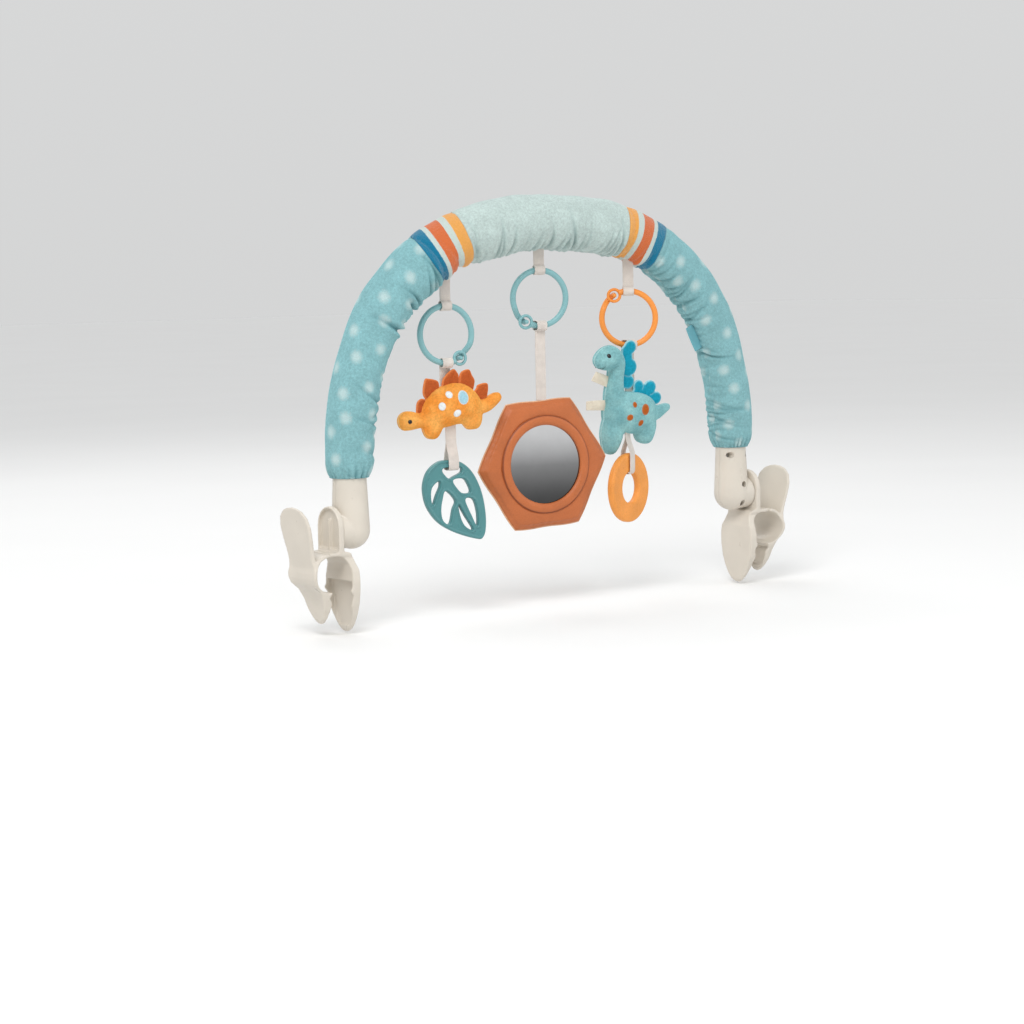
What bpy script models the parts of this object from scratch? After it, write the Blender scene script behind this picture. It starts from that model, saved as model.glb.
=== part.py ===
"""Stroller mobile: a padded play arch on two rim clips, with three hanging toys.

Metres, +Z up. The arch runs along X and its front faces -Y. The origin is midway
between the two clips, at the height where their saddles rest on the rims.
"""

import math

import bmesh
import bpy
import numpy as np
from mathutils import Matrix, Vector

# Fits between neighbouring pieces
GAP = 0.0003
SOFT_GAP = 0.0006
FOAM_END_GAP = 0.001
CUT_OVERRUN = 0.006

# Arch centreline: a superellipse that stands on two straight legs
ARCH_HALF_WIDTH = 0.247
ARCH_RISE = 0.244
ARCH_SQUARENESS_SHARE = 2.4
LEG_TAIL = 0.030

# Sleeve of the arch: its cover, the stripes and the foam tube inside
LEG_RADIUS = 0.0232
APEX_RADIUS = 0.0258
HEM_RADIUS = 0.0194
GATHER_LENGTH = 0.018
COVER_WALL = 0.0027
COVER_SLIDE = -0.008
STRIPES_INNER_EDGE = 0.103
STRIPES_WIDTH = 0.050

# Bendable core of the arch
CORE_RADIUS = 0.005
CORE_FLANGE_RADIUS = 0.008
CORE_FLANGE_LENGTH = 0.003
CORE_BORE_GAP = 0.0006

# Blank tag sewn to the inner side of the right leg
TAG_PLACE_SHARE = 0.83
TAG_LENGTH = 0.028
TAG_DEPTH = 0.010
TAG_THICKNESS = 0.0014

# Elbow between a leg and its clip
ELBOW_RADIUS = 0.016
ELBOW_WALL = 0.0026
ELBOW_INSERT = 0.014
ELBOW_DROP = 0.050
ELBOW_BALL_RADIUS = 0.0185
OUTLET_RADIUS = 0.0173
OUTLET_REACH = 0.0197
OUTLET_END_WALL = 0.0032
COLLAR_LENGTH = 0.0115

# Screws that hold the elbow halves together
POST_RADIUS = 0.0044
UPPER_POST_OFFSET = 0.0113
UPPER_POST_DROP = 0.008
LOWER_POST_REACH = 0.003
LOWER_POST_OFFSET = 0.0102
SCREW_HEAD_RADIUS = 0.0028
SCREW_HEAD_HEIGHT = 0.0018
SCREW_CROWN_SHARE = 0.7
SCREW_SHANK_RADIUS = 0.0013
SCREW_SEAT_DEPTH = 0.0035
SCREW_BITE = 0.0055

# Swivel stub of the clip, held between the elbow halves
STUB_RADIUS = 0.0052
STUB_FLANGE_RADIUS = 0.0095
STUB_FLANGE_LENGTH = 0.0025

# Clip: the hollow that takes the rim, and the walls round it
CLIP_WALL = 0.0034
CLIP_SHOULDER_SHARE = 1.2
SHOULDER_CLEARANCE = 0.00062
RIM_WIDTH = 0.040
RIM_INSET = 0.0145
HOLLOW_RADIUS = 0.017
SADDLE_CORNER = 0.014
HINGE_TAPER = 0.0012
CHEEK_WALL = 0.0030

# Inner jaw with its lever tab
TAB_THICKNESS = 0.006
TAB_WIDTH = 0.038
TAB_HEIGHT = 0.0465
TAB_FLOOR = 0.0024
TAB_RIB_WIDTH = 0.0026
INNER_JAW_WIDTH = 0.049
INNER_JAW_LENGTH = 0.0765
INNER_JAW_FACE = 0.0085

# Outer jaw with its thumb paddle
PADDLE_WIDTH = 0.050
PADDLE_HEIGHT = 0.0485
PADDLE_LEAN = 0.010
OUTER_JAW_LENGTH = 0.0665

# Woven tapes and snap rings
TAPE_WIDTH = 0.0115
TAPE_THICKNESS = 0.0008
EYE_GAP = 0.0013
SWING_EYE_GAP = 0.0021
RING_RADIUS = 0.028
RING_WIRE_RADIUS = 0.003
EYELET_RADIUS = 0.0062
EYELET_WIRE_RADIUS = 0.0016
PEG_RADIUS = 0.0022
PEG_LENGTH = 0.0085
RING_STEP_GAP = 0.0006
HANG_MIDDLE = -0.012
HANG_SPACING = 0.1175
TAPE_TOP_GAP = 0.0009

# Left toy: a plush stegosaur over a leaf teether
LEFT_DROP = 0.032
LEFT_YAW = math.radians(10)
STEGO_LENGTH = 0.110
STEGO_DEPTH = 0.028
STEGO_DROP = 0.040
PLATE_THICKNESS = 0.004
LEAF_HEIGHT = 0.081
LEAF_THICKNESS = 0.008
LEAF_EDGE_RADIUS = 0.0024
LEAF_DROP = 0.0595
LEAF_SHIFT = 0.003
LEAF_RIM_SHARE = 0.046
HOLE_GROWTH_SHARE = 1.14

# Middle toy: a padded hexagon with a mirror disc
MIDDLE_DROP = 0.024
MIDDLE_RING_YAW = math.radians(20)
MIRROR_YAW = math.radians(10)
MIRROR_DROP = 0.1400
PAD_CORNER_RADIUS = 0.075
PAD_CORNER_ROUND = 0.002
PAD_SIDE_DRAW = 0.0015
PAD_ROLL = math.radians(3.5)
PAD_DEPTH = 0.0078
PAD_EDGE_DEPTH = 0.0016
PANEL_WALL = 0.0018
WELT_OUTER_RADIUS = 0.049
WELT_RISE = 0.0016
PAD_FRONT_SHARE = 0.86
PAD_BACK_SHARE = 0.80
PAD_SHOULDER_SHARE = 0.8
PAD_WELT_SHARE = 0.2
PAD_BACK_FLAT_SHARE = 0.75
MIRROR_VIEW_RADIUS = 0.041
DISC_MARGIN = 0.003
DISC_THICKNESS = 0.002

# Right toy: a plush long-necked dinosaur over a ring teether
RIGHT_DROP = 0.033
RIGHT_RING_YAW = math.radians(33)
BRONTO_YAW = math.radians(8)
BRONTO_HEIGHT = 0.120
BRONTO_DEPTH = 0.030
BRONTO_STANDOFF = 0.010
BRONTO_LEAN = math.radians(9)
BRONTO_STEM_SHARE = 0.16
TEETHER_STEM_SHARE = 0.6
SPINE_THICKNESS = 0.003
RIBBON_THICKNESS = 0.0012
TEETHER_YAW = math.radians(-18)
TEETHER_RADIUS = 0.0362
TEETHER_HOLE_RADIUS = 0.016
TEETHER_THICKNESS = 0.008
TEETHER_EDGE_RADIUS = 0.0025
TEETHER_DROP = 0.1225
TEETHER_HINGE_DROP = 0.0950
TEETHER_TAPE_GAP = 0.0010
TEETHER_SHIFT = -0.0035
TEETHER_TAPE_WIDTH = 0.0095

# Counts of sides and steps
ARCH_POINTS = 121
ARCH_STATIONS = 23
SLEEVE_SIDES = 12
CORE_SIDES = 8
ROUND_SIDES = 18
SMALL_SIDES = 8
RING_POINTS = 26
EYE_POINTS = 12
CLIMB_DEGREES = 40
PAD_POINTS = 36
PLUSH_SIDES = 8
PLUSH_CAGE_SHARE = 1.07
TEETHER_SIDES = 30

COLOURS = {
    "aqua_plush": ((0.22, 0.52, 0.56), 0.95, 0),
    "seafoam_plush": ((0.50, 0.68, 0.64), 0.95, 0),
    "stripe_cloth": ((0.70, 0.74, 0.68), 0.9, 0),
    "foam": ((0.75, 0.74, 0.70), 1.0, 0),
    "core_plastic": ((0.80, 0.80, 0.78), 0.5, 0),
    "cream_plastic": ((0.80, 0.76, 0.67), 0.4, 0),
    "steel": ((0.55, 0.55, 0.56), 0.35, 1),
    "tape": ((0.74, 0.68, 0.62), 0.9, 0),
    "teal_plastic": ((0.22, 0.46, 0.49), 0.45, 0),
    "orange_plastic": ((0.85, 0.33, 0.06), 0.45, 0),
    "orange_plush": ((0.86, 0.36, 0.08), 0.95, 0),
    "rust_plush": ((0.55, 0.13, 0.03), 0.95, 0),
    "blue_plush": ((0.01, 0.27, 0.46), 0.95, 0),
    "teal_plush": ((0.24, 0.48, 0.52), 0.95, 0),
    "teal_silicone": ((0.10, 0.32, 0.34), 0.5, 0),
    "orange_silicone": ((0.90, 0.38, 0.08), 0.5, 0),
    "tan_leather": ((0.58, 0.17, 0.06), 0.55, 0),
    "mirror_film": ((0.85, 0.86, 0.88), 0.05, 1),
}


def clear_scene():
    for item in list(bpy.data.objects):
        bpy.data.objects.remove(item)


clear_scene()
parts = bpy.data.collections.new("stroller_mobile")
cutters = bpy.data.collections.new("cutters")
bpy.context.scene.collection.children.link(parts)
bpy.context.scene.collection.children.link(cutters)
materials = {}


# Blender helpers


def material(name):
    if name not in materials:
        colour, roughness, metallic = COLOURS[name]
        made = bpy.data.materials.new(name)
        made.use_nodes = True
        shader = made.node_tree.nodes["Principled BSDF"]
        shader.inputs["Base Color"].default_value = (*colour, 1)
        shader.inputs["Roughness"].default_value = roughness
        shader.inputs["Metallic"].default_value = metallic
        materials[name] = made
    return materials[name]


def add_part(name, mesh, colour, parent=None):
    made = bpy.data.objects.new(name, mesh)
    parts.objects.link(made)
    made.parent = parent
    if colour:
        mesh.materials.clear()
        mesh.materials.append(material(colour))
        mesh.shade_smooth()
        mesh.set_sharp_from_angle(angle=math.radians(35))
    return made


def add_cutter(name, mesh, parent=None):
    made = bpy.data.objects.new(name, mesh)
    cutters.objects.link(made)
    made.parent = parent
    made.hide_render = True
    made.display_type = "WIRE"
    return made


def add_pivot(name, place, turn=(0, 0, 0), parent=None):
    made = bpy.data.objects.new(name, None)
    parts.objects.link(made)
    made.location = place
    made.rotation_euler = turn
    made.parent = parent
    return made


def boolean(target, other, operation="DIFFERENCE"):
    step = target.modifiers.new(operation.lower(), "BOOLEAN")
    step.operation = operation
    step.object = other
    return target


def subdivide(target, levels):
    step = target.modifiers.new("round", "SUBSURF")
    step.levels = levels
    step.render_levels = levels
    return target


def grow(target, distance):
    step = target.modifiers.new("grow", "DISPLACE")
    step.strength = distance
    step.mid_level = 0
    return target


def finished(builder, name):
    mesh = bpy.data.meshes.new(name)
    builder.to_mesh(mesh)
    builder.free()
    return mesh


def mesh_of_curve(curve, name):
    """A curve's closed mesh, with its loose caps welded on."""
    carrier = bpy.data.objects.new(name, curve)
    bpy.context.scene.collection.objects.link(carrier)
    bpy.context.view_layer.update()
    evaluated = carrier.evaluated_get(bpy.context.evaluated_depsgraph_get())
    mesh = bpy.data.meshes.new_from_object(evaluated)
    bpy.data.objects.remove(carrier)
    builder = bmesh.new()
    builder.from_mesh(mesh)
    bmesh.ops.remove_doubles(builder, verts=builder.verts, dist=1e-6)
    bmesh.ops.recalc_face_normals(builder, faces=builder.faces)
    builder.to_mesh(mesh)
    builder.free()
    mesh.name = name
    return mesh


def flat_mesh(name, outlines, thickness, edge_radius=0, plane="XZ"):
    """A plate from closed outlines, standing in the XZ or the YZ plane."""
    curve = bpy.data.curves.new(name, "CURVE")
    curve.dimensions = "2D"
    curve.fill_mode = "BOTH"
    curve.extrude = thickness / 2 - edge_radius
    curve.bevel_depth = edge_radius
    curve.bevel_resolution = 0
    curve.offset = -edge_radius
    for outline in outlines:
        spline = curve.splines.new("POLY")
        spline.points.add(len(outline) - 1)
        for point, (across, up) in zip(spline.points, outline):
            point.co = (across, up, 0, 1)
        spline.use_cyclic_u = True
    mesh = mesh_of_curve(curve, name)
    for vertex in mesh.vertices:
        across, up, deep = vertex.co
        vertex.co = (across, -deep, up) if plane == "XZ" else (deep, across, up)
    return mesh


def tube_mesh(name, points, radius, cyclic=False, resolution=2):
    """A round wire along points."""
    curve = bpy.data.curves.new(name, "CURVE")
    curve.dimensions = "3D"
    curve.bevel_depth = radius
    curve.bevel_resolution = resolution
    curve.use_fill_caps = not cyclic
    spline = curve.splines.new("POLY")
    spline.points.add(len(points) - 1)
    for point, place in zip(spline.points, points):
        point.co = (*place, 1)
    spline.use_cyclic_u = cyclic
    return mesh_of_curve(curve, name)


def cylinder_mesh(name, radius, start, end, axis, sides=ROUND_SIDES, centre=(0, 0, 0)):
    """A cylinder from start to end along one axis, through centre."""
    half_side = math.pi / sides
    builder = bmesh.new()
    bmesh.ops.create_cone(
        builder,
        cap_ends=True,
        segments=sides,
        radius1=radius,
        radius2=radius,
        depth=end - start,
    )
    middle = (start + end) / 2
    for vertex in builder.verts:
        angle = math.atan2(vertex.co.y, vertex.co.x) + half_side
        reach = math.hypot(vertex.co.x, vertex.co.y)
        x = reach * math.cos(angle)
        y = reach * math.sin(angle)
        along = vertex.co.z + middle
        if axis == "X":
            place = (along, x, y)
        elif axis == "Y":
            place = (y, along, x)
        else:
            place = (x, y, along)
        vertex.co = Vector(place) + Vector(centre)
    return finished(builder, name)


def ball_mesh(name, radius, centre, sides=ROUND_SIDES):
    builder = bmesh.new()
    bmesh.ops.create_uvsphere(
        builder, u_segments=sides, v_segments=sides // 2, radius=radius
    )
    turn = Matrix.Rotation(math.pi / sides, 4, "Z")
    bmesh.ops.transform(builder, matrix=turn, verts=builder.verts)
    bmesh.ops.translate(builder, verts=builder.verts, vec=centre)
    return finished(builder, name)


def box_mesh(name, low, high):
    builder = bmesh.new()
    bmesh.ops.create_cube(builder, size=1)
    for vertex in builder.verts:
        for index in range(len(low)):
            share = vertex.co[index] + 0.5
            vertex.co[index] = low[index] + (high[index] - low[index]) * share
    return finished(builder, name)


def join_meshes(name, meshes):
    """Several closed meshes in one cutter."""
    builder = bmesh.new()
    for mesh in meshes:
        builder.from_mesh(mesh)
    return finished(builder, name)


def turned(target, steps):
    """Turns a profile in X and Z about Z."""
    step = target.modifiers.new("turn", "SCREW")
    step.steps = steps
    step.render_steps = steps
    step.use_merge_vertices = True
    step.merge_threshold = 1e-5
    return target


def profile_mesh(name, points, closed):
    mesh = bpy.data.meshes.new(name)
    count = len(points)
    edges = [(index, index + 1) for index in range(count - 1)]
    if closed:
        edges.append((count - 1, 0))
    mesh.from_pydata([(radius, 0, along) for radius, along in points], edges, [])
    return mesh


def arc(centre, radius, start_degrees, end_degrees, count):
    """Points along an arc, both ends included."""
    angles = np.radians(np.linspace(start_degrees, end_degrees, count))
    return [
        (centre[0] + radius * math.cos(angle), centre[1] + radius * math.sin(angle))
        for angle in angles
    ]


def widened(outline, growth):
    """An outline made larger about its own middle."""
    middle = np.mean(outline, axis=0)
    return [tuple(middle + (np.array(point) - middle) * growth) for point in outline]


def scaled(shares, size):
    """Outline points given as shares of one size."""
    return [(across * size, up * size) for across, up in shares]


# Arch centreline, whose feet stand on the elbows above the clips' shoulders

clip_shoulder = CLIP_WALL * CLIP_SHOULDER_SHARE
sleeve_end_height = clip_shoulder + SHOULDER_CLEARANCE + OUTLET_RADIUS + ELBOW_DROP


def arch_path():
    angles = np.linspace(math.pi, 0, ARCH_POINTS)
    power = 2 / ARCH_SQUARENESS_SHARE
    across = ARCH_HALF_WIDTH * np.sign(np.cos(angles)) * np.abs(np.cos(angles)) ** power
    up = sleeve_end_height + ARCH_RISE * np.abs(np.sin(angles)) ** power
    foot = sleeve_end_height - LEG_TAIL
    across = np.concatenate([[-ARCH_HALF_WIDTH], across, [ARCH_HALF_WIDTH]])
    up = np.concatenate([[foot], up, [foot]])
    return across, up


path_x, path_z = arch_path()
path_s = np.concatenate([[0], np.cumsum(np.hypot(np.diff(path_x), np.diff(path_z)))])
sleeve_start = LEG_TAIL
sleeve_end = path_s[-1] - LEG_TAIL
sleeve_middle = (sleeve_start + sleeve_end) / 2 + COVER_SLIDE
left_stripes = sleeve_middle - STRIPES_INNER_EDGE - STRIPES_WIDTH
right_stripes = sleeve_middle + STRIPES_INNER_EDGE
seams = [
    sleeve_start,
    left_stripes,
    left_stripes + STRIPES_WIDTH,
    right_stripes,
    right_stripes + STRIPES_WIDTH,
    sleeve_end,
]


def sleeve_radius(along):
    """Outer radius of the sleeve at a distance along the path."""
    share = (along - sleeve_start) / (sleeve_end - sleeve_start)
    full = LEG_RADIUS + (APEX_RADIUS - LEG_RADIUS) * math.sin(math.pi * share) ** 2
    from_end = min(along - sleeve_start, sleeve_end - along) / GATHER_LENGTH
    rise = min(max(from_end, 0), 1)
    return HEM_RADIUS + (full - HEM_RADIUS) * rise * (2 - rise)


def sleeve_underside(across):
    """Height of the sleeve's lowest line above a place on X."""
    along = np.interp(across, path_x[1:-1], path_s[1:-1])
    height = np.interp(along, path_s, path_z)
    slope = np.gradient(path_x, path_s)
    return height - sleeve_radius(along) / np.interp(along, path_s, slope)


def stations(start, end):
    """Shared cross-sections between two distances, with both ends."""
    gathers = np.array([GATHER_LENGTH / 3, ELBOW_INSERT + FOAM_END_GAP, GATHER_LENGTH])
    shared = np.concatenate(
        [
            np.linspace(sleeve_start, sleeve_end, ARCH_STATIONS)[1:-1],
            sleeve_start + gathers,
            sleeve_end - gathers,
            seams[1:-1],
        ]
    )
    inside = []
    for place in sorted(shared):
        if start + COVER_WALL < place < end - COVER_WALL:
            inside.append(place)
    return [start, *inside, end]


def make_arch_guide():
    curve = bpy.data.curves.new("arch_guide", "CURVE")
    curve.dimensions = "3D"
    curve.twist_mode = "MINIMUM"
    spline = curve.splines.new("POLY")
    spline.points.add(len(path_x) - 1)
    for point, across, up in zip(spline.points, path_x, path_z):
        point.co = (across, 0, up, 1)
    guide = bpy.data.objects.new("arch_guide", curve)
    cutters.objects.link(guide)
    guide.hide_render = True
    guide.display_type = "WIRE"
    return guide


arch_guide = make_arch_guide()


def bend_round_arch(target, sides):
    turned(target, sides)
    step = target.modifiers.new("bend", "CURVE")
    step.object = arch_guide
    step.deform_axis = "POS_Z"
    return target


def sleeve_profile(start, end, outer, inner):
    """Closed outline of a tube wall, down the outside and up the inside."""
    places = stations(start, end)
    outside = [(outer(place), place) for place in reversed(places)]
    inside = [(inner(place), place) for place in places]
    return outside + inside


# Arch pieces


def cover_inner(along):
    return sleeve_radius(along) - COVER_WALL


def foam_outer(along):
    return cover_inner(along) - SOFT_GAP


def foam_bore(along):
    return CORE_RADIUS + CORE_BORE_GAP


def make_arch():
    names = [
        ("cover_left", "aqua_plush"),
        ("stripe_panel_left", "stripe_cloth"),
        ("cover_center", "seafoam_plush"),
        ("stripe_panel_right", "stripe_cloth"),
        ("cover_right", "aqua_plush"),
    ]
    for index, (name, colour) in enumerate(names):
        start = seams[index] + GAP / 2
        end = seams[index + 1] - GAP / 2
        outline = sleeve_profile(start, end, sleeve_radius, cover_inner)
        piece = add_part(name, profile_mesh(name, outline, True), colour)
        bend_round_arch(piece, SLEEVE_SIDES)

    foam_start = sleeve_start + ELBOW_INSERT + FOAM_END_GAP
    foam_end = sleeve_end - ELBOW_INSERT - FOAM_END_GAP
    outline = sleeve_profile(foam_start, foam_end, foam_outer, foam_bore)
    foam = add_part("arch_foam", profile_mesh("arch_foam", outline, True), "foam")
    bend_round_arch(foam, SLEEVE_SIDES)

    flange_top = ELBOW_INSERT - COLLAR_LENGTH - GAP
    core_start = sleeve_start + flange_top - CORE_FLANGE_LENGTH
    core_end = sleeve_end - flange_top + CORE_FLANGE_LENGTH
    places = stations(core_start + CORE_FLANGE_LENGTH, core_end - CORE_FLANGE_LENGTH)
    outline = [(0, core_end), (CORE_FLANGE_RADIUS, core_end)]
    outline.append((CORE_FLANGE_RADIUS, core_end - CORE_FLANGE_LENGTH))
    outline += [(CORE_RADIUS, place) for place in reversed(places)]
    outline.append((CORE_FLANGE_RADIUS, core_start + CORE_FLANGE_LENGTH))
    outline += [(CORE_FLANGE_RADIUS, core_start), (0, core_start)]
    mesh = profile_mesh("arch_core", outline, False)
    core = add_part("arch_core", mesh, "core_plastic")
    bend_round_arch(core, CORE_SIDES)


def make_sleeve_cutter(name, clearance):
    """The whole sleeve, solid and a little larger."""
    places = stations(sleeve_start, sleeve_end)
    outline = [(0, sleeve_end)]
    outline += [(sleeve_radius(place) + clearance, place) for place in reversed(places)]
    outline.append((0, sleeve_start))
    cutter = add_cutter(name, profile_mesh(name, outline, False))
    return bend_round_arch(cutter, SLEEVE_SIDES)


def make_side_tag(sleeve_cutter):
    along = sleeve_start + TAG_PLACE_SHARE * (sleeve_end - sleeve_start)
    across = np.interp(along, path_s, path_x)
    up = np.interp(along, path_s, path_z)
    inward = np.array([-np.gradient(path_z, path_s), np.gradient(path_x, path_s)]).T
    normal = [-np.interp(along, path_s, inward[:, index]) for index in range(2)]
    reach = sleeve_radius(along) + TAG_DEPTH
    root = sleeve_radius(along) - COVER_WALL
    tangent = (-normal[1], normal[0])
    corners = []
    for depth, side in ((root, -1), (reach, -1), (reach, 1), (root, 1)):
        half = side * TAG_LENGTH / 2
        corners.append(
            (
                across + normal[0] * depth + tangent[0] * half,
                up + normal[1] * depth + tangent[1] * half,
            )
        )
    mesh = flat_mesh("side_tag", [corners], TAG_THICKNESS)
    boolean(add_part("side_tag", mesh, "tape"), sleeve_cutter)


# Elbows


def post_places():
    """Where the four screws stand, from the foot's axis and the sleeve's end."""
    upper = -UPPER_POST_DROP
    return [
        (-UPPER_POST_OFFSET, upper),
        (UPPER_POST_OFFSET, upper),
        (LOWER_POST_REACH, -ELBOW_DROP + LOWER_POST_OFFSET),
        (LOWER_POST_REACH, -ELBOW_DROP - LOWER_POST_OFFSET),
    ]


def y_cylinders(name, radius, start, end, sides):
    return join_meshes(
        name,
        [
            cylinder_mesh(name, radius, start, end, "Y", sides, (across, 0, up))
            for across, up in post_places()
        ],
    )


def make_elbow_shape(name, shrink, top, reach, parent):
    """Leg tube, outlet and the ball that joins them."""
    leg = ELBOW_RADIUS - shrink
    outlet = OUTLET_RADIUS - shrink
    shape = add_cutter(name, cylinder_mesh(name, leg, -ELBOW_DROP, top, "Z"), parent)
    centre = (0, 0, -ELBOW_DROP)
    arm = cylinder_mesh(name + "_arm", outlet, 0, reach, "X", centre=centre)
    ball = ball_mesh(name + "_ball", ELBOW_BALL_RADIUS - shrink, centre)
    boolean(shape, add_cutter(name + "_ball", ball, parent), "UNION")
    boolean(shape, add_cutter(name + "_arm", arm, parent), "UNION")
    return shape


def make_elbow(side):
    """Two half shells and four screws; the right one shows its screws in front."""
    sign = 1 if side == "right" else -1
    turn = 0 if side == "right" else math.pi
    foot = add_pivot(
        side + "_foot", (sign * ARCH_HALF_WIDTH, 0, sleeve_end_height), (0, 0, turn)
    )
    cavity_top = ELBOW_INSERT - COLLAR_LENGTH
    cavity_reach = OUTLET_REACH - OUTLET_END_WALL
    outer = make_elbow_shape(side + "_elbow_outer", 0, ELBOW_INSERT, OUTLET_REACH, foot)
    cavity = make_elbow_shape(
        side + "_elbow_cavity", ELBOW_WALL, cavity_top, cavity_reach, foot
    )
    half = ELBOW_BALL_RADIUS + CUT_OVERRUN
    posts = y_cylinders(side + "_posts", POST_RADIUS, -half, half, SMALL_SIDES)
    boolean(cavity, add_cutter(side + "_posts", posts, foot))

    core_bore = cylinder_mesh(
        side + "_core_bore",
        CORE_RADIUS + CORE_BORE_GAP,
        cavity_top - CUT_OVERRUN,
        ELBOW_INSERT + CUT_OVERRUN,
        "Z",
        SMALL_SIDES,
    )
    stub_bore = cylinder_mesh(
        side + "_stub_bore",
        STUB_RADIUS + GAP,
        cavity_reach - CUT_OVERRUN,
        OUTLET_REACH + CUT_OVERRUN,
        "X",
        centre=(0, 0, -ELBOW_DROP),
    )
    bores = join_meshes(side + "_bores", [core_bore, stub_bore])
    bore_cutter = add_cutter(side + "_bores", bores, foot)

    wide = ELBOW_RADIUS + OUTLET_REACH + CUT_OVERRUN
    tall = ELBOW_DROP + ELBOW_BALL_RADIUS + CUT_OVERRUN
    deep = ELBOW_BALL_RADIUS + CUT_OVERRUN
    top = ELBOW_INSERT + CUT_OVERRUN
    screw_block = ((-wide, -deep, -tall), (wide, -GAP / 2, top))
    plain_block = ((-wide, GAP / 2, -tall), (wide, deep, top))
    head_hole = SCREW_HEAD_RADIUS + GAP
    shank_hole = SCREW_SHANK_RADIUS + GAP
    seat = -SCREW_SEAT_DEPTH
    outside = -ELBOW_BALL_RADIUS - CUT_OVERRUN
    recesses = y_cylinders(side + "_recesses", head_hole, outside, seat, SMALL_SIDES)
    drills = y_cylinders(
        side + "_drills", shank_hole, seat - SCREW_HEAD_HEIGHT, CUT_OVERRUN, SMALL_SIDES
    )
    pilots = y_cylinders(
        side + "_pilots", shank_hole, -CUT_OVERRUN, SCREW_BITE + GAP, SMALL_SIDES
    )

    halves = (
        ("_elbow_screw_half", screw_block, (recesses, drills)),
        ("_elbow_plain_half", plain_block, (pilots,)),
    )
    for suffix, block, holes in halves:
        name = side + suffix
        shell = add_part(name, box_mesh(name, *block), "cream_plastic", foot)
        boolean(shell, outer, "INTERSECT")
        boolean(shell, cavity)
        boolean(shell, bore_cutter)
        for hole in holes:
            boolean(shell, add_cutter(hole.name, hole, foot))

    for index, (across, up) in enumerate(post_places()):
        name = f"{side}_elbow_screw_{index + 1}"
        screw = add_part(name, screw_mesh(name), "steel", foot)
        screw.location = (across, seat - GAP, up)
    return foot


def screw_mesh(name):
    """A pan-headed screw that points along +Y from under its head."""
    carrier_points = [
        (SCREW_SHANK_RADIUS, SCREW_SEAT_DEPTH + SCREW_BITE),
        (SCREW_SHANK_RADIUS, 0),
        (SCREW_HEAD_RADIUS, 0),
        (SCREW_HEAD_RADIUS, -SCREW_HEAD_HEIGHT / 2),
        (SCREW_HEAD_RADIUS * SCREW_CROWN_SHARE, -SCREW_HEAD_HEIGHT),
    ]
    builder = bmesh.new()
    ring = [builder.verts.new((radius, along, 0)) for radius, along in carrier_points]
    edges = [builder.edges.new(pair) for pair in zip(ring, ring[1:])]
    bmesh.ops.spin(
        builder,
        geom=ring + edges,
        cent=(0, 0, 0),
        axis=(0, 1, 0),
        angle=2 * math.pi,
        steps=SMALL_SIDES,
        use_merge=True,
    )
    bmesh.ops.remove_doubles(builder, verts=builder.verts, dist=1e-6)
    bmesh.ops.holes_fill(builder, edges=builder.edges)
    bmesh.ops.recalc_face_normals(builder, faces=builder.faces)
    return finished(builder, name)


# Clips, drawn outward from the foot's axis and up from the rim seat

TOOTH_SHARE = 0.075
JAW_TEETH_SHARES = (
    (0.25, -0.40),
    (1.0, -0.445),
    (-0.15, -0.51),
    (0.35, -0.64),
    (-0.5, -0.71),
    (-1.5, -0.97),
)
JAW_HEEL_SHARE = 0.93
JAW_NECK_SHARE = 0.7
INNER_POCKET_SHARES = (0.8, 0.33, 0.9)
RIB_HEIGHT_SHARE = 0.75
BLANK_WIDTH_SHARE = 1.2
INNER_OUTLINE_SHARES = (
    (-0.02, 0.72),
    (-0.10, 0.80),
    (-0.20, 0.95),
    (-0.32, 1.0),
    (-0.46, 0.98),
    (-0.62, 0.90),
    (-0.76, 0.74),
    (-0.88, 0.53),
    (-0.96, 0.30),
    (-0.995, 0.10),
)
SPOON_SHARES = (
    (0.65, -0.043),
    (0.41, 0.222),
    (0.26, 0.591),
    (0.10, 0.898),
    (-0.02, 1.0),
    (-0.12, 0.939),
    (-0.14, 0.632),
    (-0.20, 0.304),
    (0.0, 0.151),
)
SPOON_POCKET_SHARES = (
    (0.20, 0.141),
    (0.08, 0.591),
    (0.02, 0.795),
    (-1.0, 0.795),
    (-1.0, 0.141),
)
OUTER_OUTLINE_SHARES = (
    (1.0, 0.0),
    (0.985, 0.30),
    (0.93, 0.62),
    (0.80, 0.90),
    (0.62, 1.0),
    (0.38, 0.97),
    (0.12, 0.87),
    (-0.08, 0.86),
    (-0.24, 0.95),
    (-0.38, 0.97),
    (-0.55, 0.88),
    (-0.80, 0.76),
    (-1.05, 0.60),
    (-1.22, 0.40),
    (-1.32, 0.20),
    (-1.36, 0.0),
)
tab_start = OUTLET_REACH + GAP
hollow_outer_x = RIM_INSET + RIM_WIDTH
hinge_x = hollow_outer_x - HOLLOW_RADIUS
hollow_centre = (hinge_x, -HOLLOW_RADIUS)
spoon_length = OUTER_JAW_LENGTH - 2 * HOLLOW_RADIUS
saddle_centre = (RIM_INSET + SADDLE_CORNER, -SADDLE_CORNER)


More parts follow.
